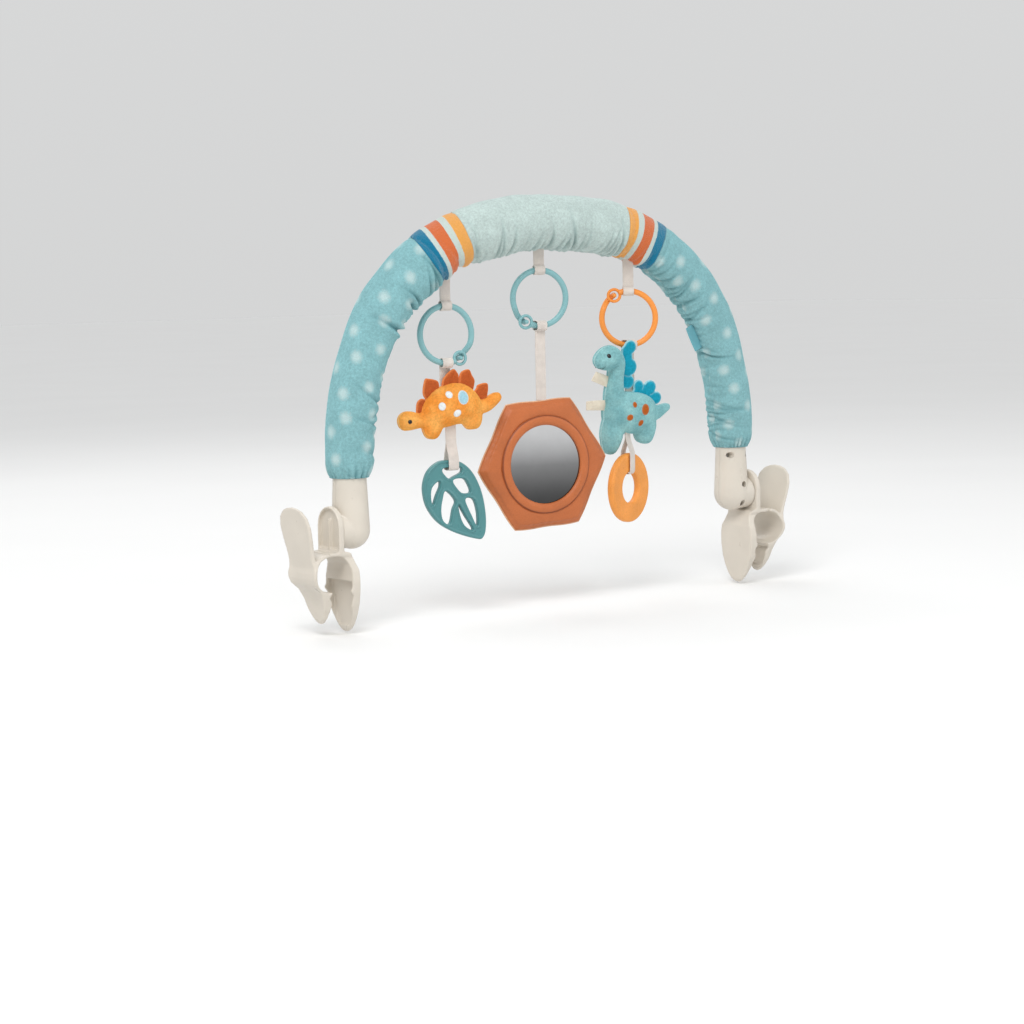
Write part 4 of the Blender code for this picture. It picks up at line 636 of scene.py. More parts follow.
def makeStage():
    deselectAll()
    bpy.ops.mesh.primitive_plane_add(size=studio["floorSize"], location=(0, 0, studio["floorHeight"]))
    floor = takeNew("floor")
    floor.visible_glossy = False  # the mirror looks past it, at the surround
    tree, shader, place = startFinish("paleFloor", 0.85)
    colour = studio["floorColour"]
    dress(tree, shader, mottleOf(tree, place, 3, 3, shade(colour, 0.985), colour))
    floor.data.materials.append(finishes["paleFloor"])

    world = bpy.data.worlds.new("studioWorld")
    world.use_nodes = True
    tree = world.node_tree
    around = addNode(tree, "TexCoord").outputs["Generated"]
    height = addNode(tree, "SeparateXYZ", {"Vector": around}).outputs["Z"]
    tone = rampOf(tree, height, ((0.0, studio["lowSurround"]), (1.0, studio["highSurround"])))
    tree.links.new(tone, tree.nodes["Background"].inputs["Color"])
    bpy.context.scene.world = world
    for index, (place, target, size, power) in enumerate(studio["lights"]):
        data = bpy.data.lights.new(f"softbox{index}", "AREA")
        data.size = size
        data.energy = power
        lamp = addObject(data.name, data)
        turn = (Vector(target) - Vector(place)).to_track_quat("-Z", "Y")
        lamp.matrix_world = Matrix.Translation(place) @ turn.to_matrix().to_4x4()
    bpy.context.scene.view_settings.view_transform = "Standard"


setCamera()
makeStage()
print("camera, floor, lights and finishes set")

# where the tapes go round the arch, their turn and length, and the turn of what hangs there

hangers = {
    "left": {"x": -0.1295, "top": 0.26519, "drop": 0.032, "yaw": 10, "toyYaw": 10},
    "center": {"x": -0.012, "top": 0.29013, "drop": 0.024, "yaw": 20, "toyYaw": 10},
    "right": {"x": 0.1055, "top": 0.27558, "drop": 0.033, "yaw": 33, "toyYaw": 8},
}

# the sleeve: five lengths of cloth on one path

sleeve = {
    "halfWidth": 0.247, "foot": 0.072, "rise": 0.244, "squareness": 2.4, "tail": 0.030,
    "slide": -0.008, "bandStart": 0.103, "bandEnd": 0.153,
    "legRadius": 0.0232, "crownRadius": 0.0258, "hemRadius": 0.0174, "gather": 0.017,
    "least": 0.0170, "lean": 0.0085, "cloth": 0.0011, "step": 0.0012, "sides": 144,
    # share of the sleeve's length, and how far the padding hangs on its inner side
    "sag": (
        (0, 0), (0.05, 0.0012), (0.18, 0.0018), (0.24, 0.0035), (0.29, 0.0054), (0.34, 0.0060),
        (0.40, 0.0055), (0.50, 0.0050), (0.58, 0.0048), (0.64, 0.0040), (0.70, 0.0030),
        (0.78, 0.0020), (0.93, 0.0016), (1, 0),
    ),
    # first share, last share, gap, depth, width, reach round from the inner seam
    "creases": (
        (0.020, 0.090, 0.0080, 0.0015, 0.0022, 1.7),
        (0.090, 0.190, 0.0080, 0.0010, 0.0018, 1.1),
        (0.190, 0.306, 0.0092, 0.0058, 0.0019, 1.25),
        (0.306, 0.370, 0.0100, 0.0020, 0.0026, 1.4),
        (0.370, 0.470, 0.0085, 0.0030, 0.0018, 0.9),
        (0.470, 0.612, 0.0080, 0.0042, 0.0018, 1.0),
        (0.612, 0.674, 0.0095, 0.0020, 0.0024, 1.1),
        (0.674, 0.800, 0.0095, 0.0020, 0.0020, 0.9),
        (0.800, 0.930, 0.0100, 0.0010, 0.0020, 0.8),
        (0.862, 0.863, 0.0200, 0.0046, 0.0019, 1.5),
        (0.935, 0.985, 0.0045, 0.0019, 0.0016, 1.3),
    ),
    # at a seam and at a hem the last rows turn in: back from the end, in from the face
    "seamGap": 0.00015, "seamTurn": ((0, 0.0042), (0, 0.0026), (0, 0.0008)),
    "hemTurn": ((0.0015, 0.0009), (0.0006, 0.0008), (0, 0.0004)),
    "girth": 2 * np.pi * 0.0242,
    "lengths": (
        ("sleeveLeftLeg", "cover_left", "aquaCloth", "aqua_cloth"),
        ("sleeveLeftBands", "stripe_panel_left", "stripeCloth", "stripe_cloth"),
        ("sleeveCrown", "cover_center", "seafoamCloth", "seafoam_cloth"),
        ("sleeveRightBands", "stripe_panel_right", "stripeCloth", "stripe_cloth"),
        ("sleeveRightLeg", "cover_right", "aquaCloth", "aqua_cloth"),
    ),
}


def makePath():
    turns = np.linspace(math.pi, 0, 1601)
    power = 2 / sleeve["squareness"]
    x = sleeve["halfWidth"] * np.sign(np.cos(turns)) * np.abs(np.cos(turns)) ** power
    z = sleeve["foot"] + sleeve["rise"] * np.abs(np.sin(turns)) ** power
    x = np.concatenate([[-sleeve["halfWidth"]], x, [sleeve["halfWidth"]]])
    z = np.concatenate([[sleeve["foot"] - sleeve["tail"]], z, [sleeve["foot"] - sleeve["tail"]]])
    s = np.concatenate([[0], np.cumsum(np.hypot(np.diff(x), np.diff(z)))])
    even = np.linspace(0, s[-1], 1200)
    x, z = np.interp(even, s, x), np.interp(even, s, z)
    return even, x, z, np.gradient(x, even), np.gradient(z, even)


pathS, pathX, pathZ, pathTx, pathTz = makePath()
sleeveStart = sleeve["tail"]
sleeveEnd = pathS[-1] - sleeve["tail"]
sleeveMiddle = (sleeveStart + sleeveEnd) / 2 + sleeve["slide"]
seamPlaces = [
    sleeveStart,
    sleeveMiddle - sleeve["bandEnd"], sleeveMiddle - sleeve["bandStart"],
    sleeveMiddle + sleeve["bandStart"], sleeveMiddle + sleeve["bandEnd"],
    sleeveEnd,
]


def shareOf(s):
    return (s - sleeveStart) / (sleeveEnd - sleeveStart)


def pathAt(s):
    return [np.interp(s, pathS, values) for values in (pathX, pathZ, pathTx, pathTz)]


def plainRadius(s):
    swell = (sleeve["crownRadius"] - sleeve["legRadius"]) * np.sin(np.pi * shareOf(s)) ** 2
    full = sleeve["legRadius"] + swell
    rise = np.clip(np.minimum(s - sleeveStart, sleeveEnd - s) / sleeve["gather"], 0, 1)
    return sleeve["hemRadius"] + (full - sleeve["hemRadius"]) * (1 - (1 - rise) ** 2.2)


def sagAt(s, turn):
    # the padding's own weight, less where a tape goes round
    shares, depths = zip(*sleeve["sag"])
    sag = np.interp(shareOf(s), shares, depths) * ((1 + np.cos(turn)) / 2) ** 1.5
    for spot in hangers.values():
        sag *= 1 - 0.55 * bell(pathAt(s)[0] - spot["x"], 0.009)
    return sag


def makeCreases():
    # place, depth, width, reach, slant, middle, wander
    rng = np.random.default_rng(11)
    length = sleeveEnd - sleeveStart
    made = []
    for first, last, gap, depth, width, reach in sleeve["creases"]:
        s = sleeveStart + first * length
        while s < sleeveStart + last * length:
            made.append((
                s, depth * rng.uniform(0.45, 1.2), width * rng.uniform(0.7, 1.4),
                reach * rng.uniform(0.5, 1.2), rng.uniform(-0.009, 0.009),
                rng.uniform(-0.35, 0.2), rng.uniform(0, 6.3),
            ))
            s += gap * rng.uniform(0.6, 1.45)
    return made


creases = makeCreases()

folds = {
    # shadeDepth, shadeWidth and darkShare set the painted shade in the folds
    "waver": 0.0012, "bead": 0.40, "sharpness": 1.4, "shadeDepth": 0.0030, "shadeWidth": 0.75,
    "lumps": 14, "lumpHeight": 0.00017,
    # depth and width of the dip at a seam, and of the softer one round it
    "innerSeam": (0.0012, 0.0022, 0.0007, 0.007), "crossSeam": (0.0013, 0.0016, 0.0008, 0.006),
    "innerRadius": 0.0235, "hemReach": 0.0105, "pleats": 23, "pleatHeight": 0.0015, "hemDip": 0.0003,
    "deepest": -0.0019, "sagShare": 0.8, "highest": 0.0020, "darkShare": 0.85,
}


def sleeveFolds(s, turn):
    # how far the cloth lifts, and the painted shade in its creases and hem gathers
    turn = np.mod(turn + math.pi, 2 * math.pi) - math.pi
    lift, foldShade = np.zeros_like(s), np.zeros_like(s)
    for place, depth, width, reach, slant, middle, wander in creases:
        off = np.abs(s - place - slant * turn + folds["waver"] * np.sin(3 * turn + wander)) / width
        around = depth * bell(turn - middle, reach)
        lift += around * (folds["bead"] * bell(off - 2.0, 1) - np.exp(-(off ** folds["sharpness"])))
        # painted shade along each crease
        foldShade += around / folds["shadeDepth"] * bell(off, folds["shadeWidth"])
    inner = np.abs(turn) * folds["innerRadius"]  # from the seam along the sleeve's inner side
    depth, width, softDepth, softWidth = folds["innerSeam"]
    lift -= depth * bell(inner, width) + softDepth * bell(inner, softWidth)
    rng = np.random.default_rng(5)
    for _ in range(folds["lumps"]):  # uneven stuffing
        wave, around, phase = rng.uniform(0.03, 0.16), rng.integers(0, 4), rng.uniform(0, 6.3)
        lift += folds["lumpHeight"] * np.sin(2 * np.pi * s / wave + around * turn + phase)
    depth, width, softDepth, softWidth = folds["crossSeam"]
    for seam in seamPlaces[1:-1]:
        pull = 1 + 0.3 * np.cos(26 * turn + seam * 900)
        lift -= depth * bell(s - seam, width) * pull + softDepth * bell(s - seam, softWidth)
    for off, phase in ((s - sleeveStart, 0.4), (sleeveEnd - s, 1.9)):  # gathers at the hems
        fade = bell(off, folds["hemReach"])
        pleat = np.cos(folds["pleats"] * turn + phase + 3 * np.sin(turn * 2 + phase) + 90 * off)
        pleat *= 0.8 + 0.4 * np.sin(3 * turn)
        lift += fade * (folds["pleatHeight"] * np.clip(pleat, -1, 1) - folds["hemDip"])
        # painted shade in the troughs of the gathers
        foldShade += 0.9 * fade * np.clip(-pleat, 0, 1) ** 2
    deepest = folds["deepest"] - folds["sagShare"] * sagAt(s, turn)
    return np.clip(lift, deepest, folds["highest"]), folds["darkShare"] * np.clip(foldShade, 0, 1)


def leanOf(s, turn):
    # the seams across the top run a little to the left on the front
    lean = sleeve["lean"] * np.interp(shareOf(s), (0.05, 0.26, 0.74, 0.95), (0, 1, 1, 0))
    return np.clip(s + lean * np.sin(turn), sleeveStart, sleeveEnd)


def sleevePoint(s, turn, inset):
    s = leanOf(s, turn)
    x, z, tx, tz = pathAt(s)
    radius = plainRadius(s) + sagAt(s, turn) + sleeveFolds(s, turn)[0]
    radius = np.maximum(radius, sleeve["least"]) - inset
    across = radius * np.cos(turn)
    return np.stack([x + across * tz, radius * np.sin(turn), z - across * tx], axis=1)


def makeSleeve():
    for index, (name, node, finish, slot) in enumerate(sleeve["lengths"]):
        start, end = seamPlaces[index] + sleeve["seamGap"], seamPlaces[index + 1] - sleeve["seamGap"]
        first = np.array(sleeve["hemTurn" if index == 0 else "seamTurn"])
        last = np.array(sleeve["hemTurn" if index == 4 else "seamTurn"])[::-1]
        middle = np.linspace(start, end, max(int((end - start) / sleeve["step"]), 20) + 1)
        alongs = np.concatenate([start + first[:, 0], middle, end - last[:, 0]])
        insets = np.concatenate([first[:, 1], np.zeros(len(middle)), last[:, 1]])
        steps = len(alongs) - 1

        def place(u, v):
            at, numbers = u * steps, np.arange(steps + 1)
            return sleevePoint(
                np.interp(at, numbers, alongs), 2 * np.pi * v, np.interp(at, numbers, insets)
            )

        # the painted shade of the creases and gathers, for the tint mask
        def tone(u, v):
            s, turn = np.interp(u * steps, np.arange(steps + 1), alongs), 2 * np.pi * v
            return sleeveFolds(leanOf(s, turn), turn)[1]

        # the left panel's bands start from its right-hand seam
        piece = wrapGrid(
            name, steps, sleeve["sides"], place, (end - start, sleeve["girth"]), tone,
            backwards=node == "stripe_panel_left",
        )
        bake(piece, "SOLIDIFY", thickness=sleeve["cloth"], offset=-1)
        finishPiece(piece, name, "arch", finish, node)


makeSleeve()
print("sleeve done")

# elbows and their screws

elbow = {
    "foot": (0.247, 0, 0.072),
    "legRadius": 0.0163, "ballRadius": 0.0185, "outletRadius": 0.0173, "reach": 0.0197,
    "drop": 0.050, "insert": 0.0138, "wall": 0.0026, "roof": 0.0032, "inner": 0.0025,
    "voxel": 0.0008, "innerVoxel": 0.0012, "smoothing": 10, "parting": 0.00015,
    "line": 0.00035, "lineWidth": 0.0007, "coreBore": 0.0056, "stubBore": 0.0055,
    "posts": ((-0.0113, -0.008), (0.0113, -0.008), (0.003, -0.0398), (0.003, -0.0602)),
    "postRadius": 0.0044, "headRadius": 0.0028, "headHeight": 0.0018, "seat": 0.0035,
    "shankRadius": 0.0013, "shankLength": 0.0085, "play": 0.0003, "headRound": 0.0007,
    "crossSlot": (0.0030, 0.0016, 0.0006), "drillFoot": 0.001, "drillEnd": 0.0058,
    "overrun": 0.03, "coreBoreEnd": 0.02, "stubBoreStart": 0.0155,
    "lip": 0.0003, "lipRadius": 0.0032, "lipWidth": 0.0006, "lipLevel": -0.006,
}


def elbowShape(name, shrink, top, reach, voxel, smoothing):
    middle = (0, 0, -elbow["drop"])
    swell = (elbow["ballRadius"] - elbow["legRadius"]) / elbow["drop"]
    deselectAll()
    bpy.ops.mesh.primitive_cone_add(
        vertices=64, radius1=elbow["ballRadius"] - shrink,
        radius2=elbow["legRadius"] - swell * top - shrink,
        depth=elbow["drop"] + top, location=(0, 0, (top - elbow["drop"]) / 2),
    )
    leg = takeNew(name)
    ball = addBall(name + "Ball", elbow["ballRadius"] - shrink, middle, 48, 24)
    arm = addCylinder(name + "Arm", elbow["outletRadius"] - shrink, 0, reach, "X", middle)
    return remesh(join(name, [leg, ball, arm]), voxel, smoothing)


def postRods(name, radius, start, end, sides=24):
    rods = [addCylinder(name, radius, start, end, "Y", (x, 0, z), sides) for x, z in elbow["posts"]]
    return join(name, rods)


def onBothSides(piece, name, node, finish, place, body="", angle=None):
    # a copy at each foot of the arch, the left one turned half round
    for side, turn in (("right", Matrix()), ("left", Matrix.Rotation(math.pi, 4, "Z"))):
        copy = copyPiece(piece, side + name, turn @ place)
        rides = f"{side}_{body}" if body else "arch"
        finishPiece(copy, side + name, rides, finish, f"{side}_{node}", angle=angle)


def makeElbowShell():
    shell = elbowShape("elbow", 0, elbow["insert"], elbow["reach"], elbow["voxel"], elbow["smoothing"])
    # a moulding line where the halves meet
    pushOut(shell, -elbow["line"] * bell(getPoints(shell)[:, 1], elbow["lineWidth"]))
    reach = elbow["reach"] - elbow["roof"]
    inside = elbowShape("elbowInside", elbow["wall"], elbow["inner"], reach, elbow["innerVoxel"], 0)
    far = elbow["overrun"]
    subtract(inside, postRods("posts", elbow["postRadius"], -far, far))
    subtract(shell, inside)
    subtract(shell, addCylinder("coreBore", elbow["coreBore"], 0, elbow["coreBoreEnd"]))
    start, middle = elbow["stubBoreStart"], (0, 0, -elbow["drop"])
    subtract(shell, addCylinder("stubBore", elbow["stubBore"], start, far, "X", middle))
    subtract(shell, postRods("recess", elbow["headRadius"] + elbow["play"], -far, -elbow["seat"], 32))
    for x, z in elbow["posts"]:  # worn lip round each recess
        points = getPoints(shell)
        off = np.hypot(points[:, 0] - x, points[:, 2] - z)
        facing = np.abs(readVertices(shell, "normal")[:, 1]) > 0.3
        worn = elbow["lip"] * bell(off - elbow["lipRadius"], elbow["lipWidth"])
        pushOut(shell, -worn * (points[:, 1] < elbow["lipLevel"]) * facing)
    return shell


def makeElbows():
    shell = makeElbowShell()
    foot = Matrix.Translation(elbow["foot"])
    radius, start = elbow["shankRadius"] + elbow["play"], -elbow["seat"] - elbow["drillFoot"]
    drills = postRods("drills", radius, start, elbow["drillEnd"], 16)
    for name, node, low in (("ScrewHalf", "screw_half", -1), ("PlainHalf", "plain_half", 1)):
        half = copyPiece(shell, "elbow" + name, Matrix())
        subtract(half, drills, keep=True)
        deselectAll()
        bpy.ops.mesh.primitive_cube_add(size=0.2, location=(0, low * (0.1 + elbow["parting"]), 0))
        subtract(half, takeNew("block"), "INTERSECT")
        node = "elbow_" + node
        onBothSides(half, "Elbow" + name, node, "creamPlastic", foot, angle=35)
        bpy.data.objects.remove(half)
    screw = makeScrew()
    for index, (x, z) in enumerate(elbow["posts"]):
        turn = Matrix.Rotation(0.5 + 1.1 * index, 4, "Y")
        place = foot @ Matrix.Translation((x, -elbow["seat"] - elbow["play"], z)) @ turn
        name, node = f"ElbowScrew{index + 1}", f"elbow_screw_{index + 1}"
        onBothSides(screw, name, node, "screwSteel", place, angle=35)
    for used in (shell, drills, screw):
        bpy.data.objects.remove(used)


def makeScrew():
    # pan head towards -Y with a cross, shank towards +Y
    head = addCylinder("screw", elbow["headRadius"], -elbow["headHeight"], 0, "Y", sides=32)
    activate(head)
    bpy.ops.object.mode_set(mode="EDIT")
    bpy.ops.mesh.select_mode(type="FACE")
    bpy.ops.mesh.select_all(action="DESELECT")
    bpy.ops.object.mode_set(mode="OBJECT")
    for face in head.data.polygons:
        face.select = face.normal.y < -0.9
    bpy.ops.object.mode_set(mode="EDIT")
    bpy.ops.mesh.bevel(offset=elbow["headRound"], segments=4)
    bpy.ops.object.mode_set(mode="OBJECT")
    shank = addCylinder("shank", elbow["shankRadius"], -0.0002, elbow["shankLength"], "Y", sides=16)
    subtract(head, shank, "UNION")
    for size in (elbow["crossSlot"], elbow["crossSlot"][::-1]):
        deselectAll()
        bpy.ops.mesh.primitive_cube_add(size=1, location=(0, -elbow["headHeight"], 0), scale=size)
        subtract(head, takeNew("crossSlot"))
    return head


makeElbows()
print("elbows done")

# clips: two jaws a side

clip = {"voxel": 0.0007, "smoothing": 22}


def makeClips():
    for name, jaw, body in (
        ("ClipInnerJaw", "clip_inner_jaw", "clip_base"), ("ClipOuterJaw", "clip_outer_jaw", "clip_lever"),
    ):
        blank = remesh(copyNode("jaw", "right_" + jaw), clip["voxel"], clip["smoothing"])
        onBothSides(blank, name, jaw, "creamPlastic", Matrix(), body)
        bpy.data.objects.remove(blank)


makeClips()
print("clips done")

# snap rings

snapRing = {
    "radius": 0.028, "wire": 0.003, "eyelet": 0.0062, "eyeletWire": 0.0016,
    "pegRadius": 0.0022, "pegLength": 0.0085, "step": 0.0052, "climb": 40.0, "gap": 11.0,
    "voxel": 0.00045, "smoothing": 5,
    # side, where the eyelet stands, which way the wire runs from it, finish
    "rings": (
        ("left", -58, -1, "tealPlastic", "teal_plastic"),
        ("center", -122, 1, "tealPlastic", "teal_plastic"),
        ("right", 122, -1, "orangePlastic", "orange_plastic"),
    ),
}


def addTorus(name, radius, wire, steps, sides, centre=(0, 0, 0)):
    deselectAll()
    bpy.ops.mesh.primitive_torus_add(
        major_segments=steps, minor_segments=sides, major_radius=radius, minor_radius=wire,
        location=centre, rotation=(math.pi / 2, 0, 0),
    )
    return takeNew(name)


def makeSnapRing(name, start, direction):
    wire = addTorus(name, snapRing["radius"], snapRing["wire"], 220, 22)

    def turned(x, z):
        return np.mod(direction * (np.degrees(np.arctan2(z, x)) - start), 360)

    # the wire is open beside the eyelet
    for face in wire.data.polygons:
        face.select = bool(turned(face.center.x, face.center.z) < snapRing["gap"])
    bpy.context.tool_settings.mesh_select_mode = (False, False, True)
    bpy.ops.object.mode_set(mode="EDIT")
    bpy.ops.mesh.delete(type="FACE")
    bpy.ops.mesh.select_mode(type="EDGE")
    bpy.ops.mesh.select_all(action="DESELECT")
    bpy.ops.mesh.select_non_manifold()
    bpy.ops.mesh.edge_face_add()
    bpy.ops.object.mode_set(mode="OBJECT")
    points = getPoints(wire)
    turns = turned(points[:, 0], points[:, 2])
    climb, gap = snapRing["climb"], snapRing["gap"]
    climbed = np.clip((turns - 360 + climb) / (climb - gap), 0, 1)
    climbed[turns < 5] = 1  # the end's own face, just past the eyelet's middle
    points[:, 1] += snapRing["step"] * ease(climbed)
    setPoints(wire, points)
    turn = math.radians(start)
    centre = (snapRing["radius"] * math.cos(turn), 0, snapRing["radius"] * math.sin(turn))
    eyelet = addTorus("eyelet", snapRing["eyelet"], snapRing["eyeletWire"], 48, 16, centre)
    top, foot = snapRing["step"], snapRing["step"] - snapRing["pegLength"]
    peg = addCylinder("peg", snapRing["pegRadius"], foot, top, "Y", centre, 24)
    tip = addBall("tip", snapRing["pegRadius"], (centre[0], foot, centre[2]), 24, 12)
    end = addBall("end", snapRing["wire"], (centre[0], top, centre[2]))
    pieces = [wire, eyelet, peg, tip, end]
    return remesh(join(name, pieces), snapRing["voxel"], snapRing["smoothing"])


def belowHanger(side, depth, yaw, lean=0, shift=(0, 0, 0)):
    # a place under a tape's top, past the tape's own length
    spot = hangers[side]
    return hang((spot["x"], 0, spot["top"] - spot["drop"] - depth), yaw, lean, shift)


def inRing(side, lean=0, shift=(0, 0, 0)):
    # where a toy hangs in its ring
    return belowHanger(side, 2 * snapRing["radius"], hangers[side]["toyYaw"], lean, shift)


def makeSnapRings():
    for side, start, direction, finish, slot in snapRing["rings"]:
        name = side + "SnapRing"
        place = belowHanger(side, snapRing["radius"], hangers[side]["yaw"])
        piece = makeSnapRing(name, start, direction)
        finishPiece(piece, name, side + "_snap_ring", finish, side + "_ring", place)


makeSnapRings()
print("snap rings done")

# tapes: each is one strap, doubled and sewn, with an eye at one end

tape = {
    "width": 0.0115, "thickness": 0.0008, "columns": 10, "step": 0.0007, "clear": 0.0013,
    "stitch": (0.0018, 0.00055, 0.0003), "stitchGap": 0.0026, "margin": 0.001,
    "sunk": 0.0025, "hangerRows": (("1", 0.0078), ("2", 0.0098)),
    "stegoStem": 0.033, "mirrorStem": 0.0755, "brontoStem": 0.0530,
}

# the long eyes of the two tapes under the toys: half depth and drop, where they close, their stitches
leafTape = {
    "place": inRing("left", shift=(0.003, 0, -0.0995)), "stem": 0.041,
    "eye": (0.0054, 0.081 * 0.046 + 0.0021), "flank": (0.001, 0.0235), "row": 0.0255,
}

teetherTape = {
    "at": Vector((0.10203, 0.00049, 0.06408)), "yaw": -18, "width": 0.0095, "stem": 0.038,
    "eye": (0.0053, 0.0114), "flank": (0.0080, 0.0282), "row": 0.0294, "reach": 0.0038,
}


faces = (("Front", -1), ("Back", 1))


def eyeHalf(across, up, squareness, turns):
    power = 2 / squareness
    s, c = np.sin(turns), np.cos(turns)
    y, z = across * np.sign(s) * np.abs(s) ** power, up * np.sign(c) * np.abs(c) ** power
    return np.stack([y, z], axis=1)


def strapLine(stem, eye, squareness=2, below=False, shift=0.0, flank=None):
    # the middle of the cloth in the YZ plane: down one layer, round the eye, up the other
    half = tape["thickness"] / 2
    across, up = eye[0] + half, eye[1] + half
    if flank:  # a long eye that closes slowly towards its stitches
        share = np.linspace(1, 0, 30)
        y = half + 0.00003 + (across - half) * (1 + np.cos(math.pi * share)) / 2
        side = np.stack([y, flank[0] + (flank[1] - flank[0]) * share], axis=1)
        foot = eyeHalf(across, up, squareness, np.linspace(math.pi / 2, 3 * math.pi / 2, 40))
        return np.vstack([[(half, stem)], side, foot, side[::-1] * (-1, 1), [(-half, stem)]])
    start, end = (
        math.copysign(math.asin(min(abs(y) / across, 1) ** (squareness / 2)), y)
        for y in (shift + half, shift - half)
    )
    loop = eyeHalf(across, up, squareness, np.linspace(start, 2 * math.pi + end, 60))
    line = np.vstack([[(shift + half, stem)], loop, [(shift - half, stem)]])
    return line * (1, -1) if below else line


def makeTape(name, line, place, body, nodes, width=tape["width"]):
    along = distancesAlong(line)

    def put(u, v):
        s = v * along[-1]
        y, z = np.interp(s, along, line[:, 0]), np.interp(s, along, line[:, 1])
        edge = np.abs(u - 0.5) * 2
        x = (u - 0.5) * (width - 0.0003) * (1 - 0.02 * np.sin(s * 400) ** 2)
        return np.stack([x, y, z + 0.00015 * edge ** 4], axis=1)

    piece = wrapGrid(name, tape["columns"], int(along[-1] / tape["step"]), put, (width, along[-1]))
    thicken(piece, tape["thickness"] - 0.00006, 0.00022, 2)
    finishPiece(piece, name, body, "wovenTape", nodes, place)


def sewAcross(name, place, body, z, number="", reach=tape["width"] / 2 - tape["margin"]):
    # a row of stitches on each face of a doubled tape
    for face, side in faces:
        y = side * (tape["thickness"] + 0.00002)
        start, end = Vector((-reach, y, z)), Vector((reach, y, z))
        count = int((end - start).length / tape["stitchGap"])
        step = (end - start) / count
        places = [aim(start + step * (k + 0.5), step, (0, side, 0)) for k in range(count)]
        row = repeatPiece(name + face + number, addStitch(*tape["stitch"]), places)
        finishPiece(row, name + face + number, body, "paleThread", "", place)


def slantedEye(eye, degrees):
    # wider, because the tape runs round its ring at a slant
    spread = math.tan(math.radians(degrees))
    return (eye + tape["width"] / 2 * spread, eye + tape["clear"] * spread)


def makeTapes():
    eye = snapRing["wire"] + tape["clear"]
    for side, spot in hangers.items():
        place, body = belowHanger(side, 0, spot["yaw"]), side + "_hanger"
        line = strapLine(spot["drop"] + tape["sunk"], (eye, eye))
        makeTape(side + "HangerTape", line, place, body, side + "_hanger_tape")
        for number, z in tape["hangerRows"]:
            sewAcross(side + "HangerStitches", place, body, z, number)

    line = strapLine(tape["stegoStem"], (eye, eye), below=True, shift=eye)
    makeTape("stegoLoop", line, inRing("left"), "stego", "stego_loop")
    line = strapLine(tape["mirrorStem"], slantedEye(eye, 10), 3, below=True)
    makeTape("mirrorTape", line, inRing("center"), "mirror", "mirror_tape")
    line = strapLine(tape["brontoStem"], slantedEye(eye, 25), 3, below=True)
    makeTape("brontoLoop", line, inRing("right"), "bronto", "bronto_loop")
    line = strapLine(leafTape["stem"], leafTape["eye"], 4, flank=leafTape["flank"])
    makeTape("leafTape", line, leafTape["place"], "stego", "leaf_tape")
    sewAcross("leafTapeStitches", leafTape["place"], "stego", leafTape["row"])
    place = hang(teetherTape["at"], teetherTape["yaw"])
    line = strapLine(teetherTape["stem"], teetherTape["eye"], 4, flank=teetherTape["flank"])
    makeTape("teetherTape", line, place, "teether", "teether_tape", teetherTape["width"])
    row, reach = teetherTape["row"], teetherTape["reach"]
    sewAcross("teetherTapeStitches", place, "teether", row, reach=reach)


makeTapes()
print("tapes done")

# the two plush toys

plush = {
    "voxel": 0.0012, "smoothing": 5, "cage": 1.05,
    "lumps": 16, "lumpHeight": 0.00010, "lumpPitch": 130,
    "seamDepth": 0.0009, "seamWidth": 0.0010, "sewnDepth": 0.0002, "sewnPitch": 2600,
    "patchLift": 0.0005, "patchDome": 0.0003, "eyeDome": 0.0008, "patchSink": 0.0002,
}

felt = {
    "voxel": 0.0007, "edge": 0.0018, "seamWidth": 0.0011, "lineWidth": 0.0005, "foldWidth": 0.0007,
    "plate": 0.004, "plateGroove": 0.0022, "scallop": 0.003, "scallopGroove": 0.0020,
}

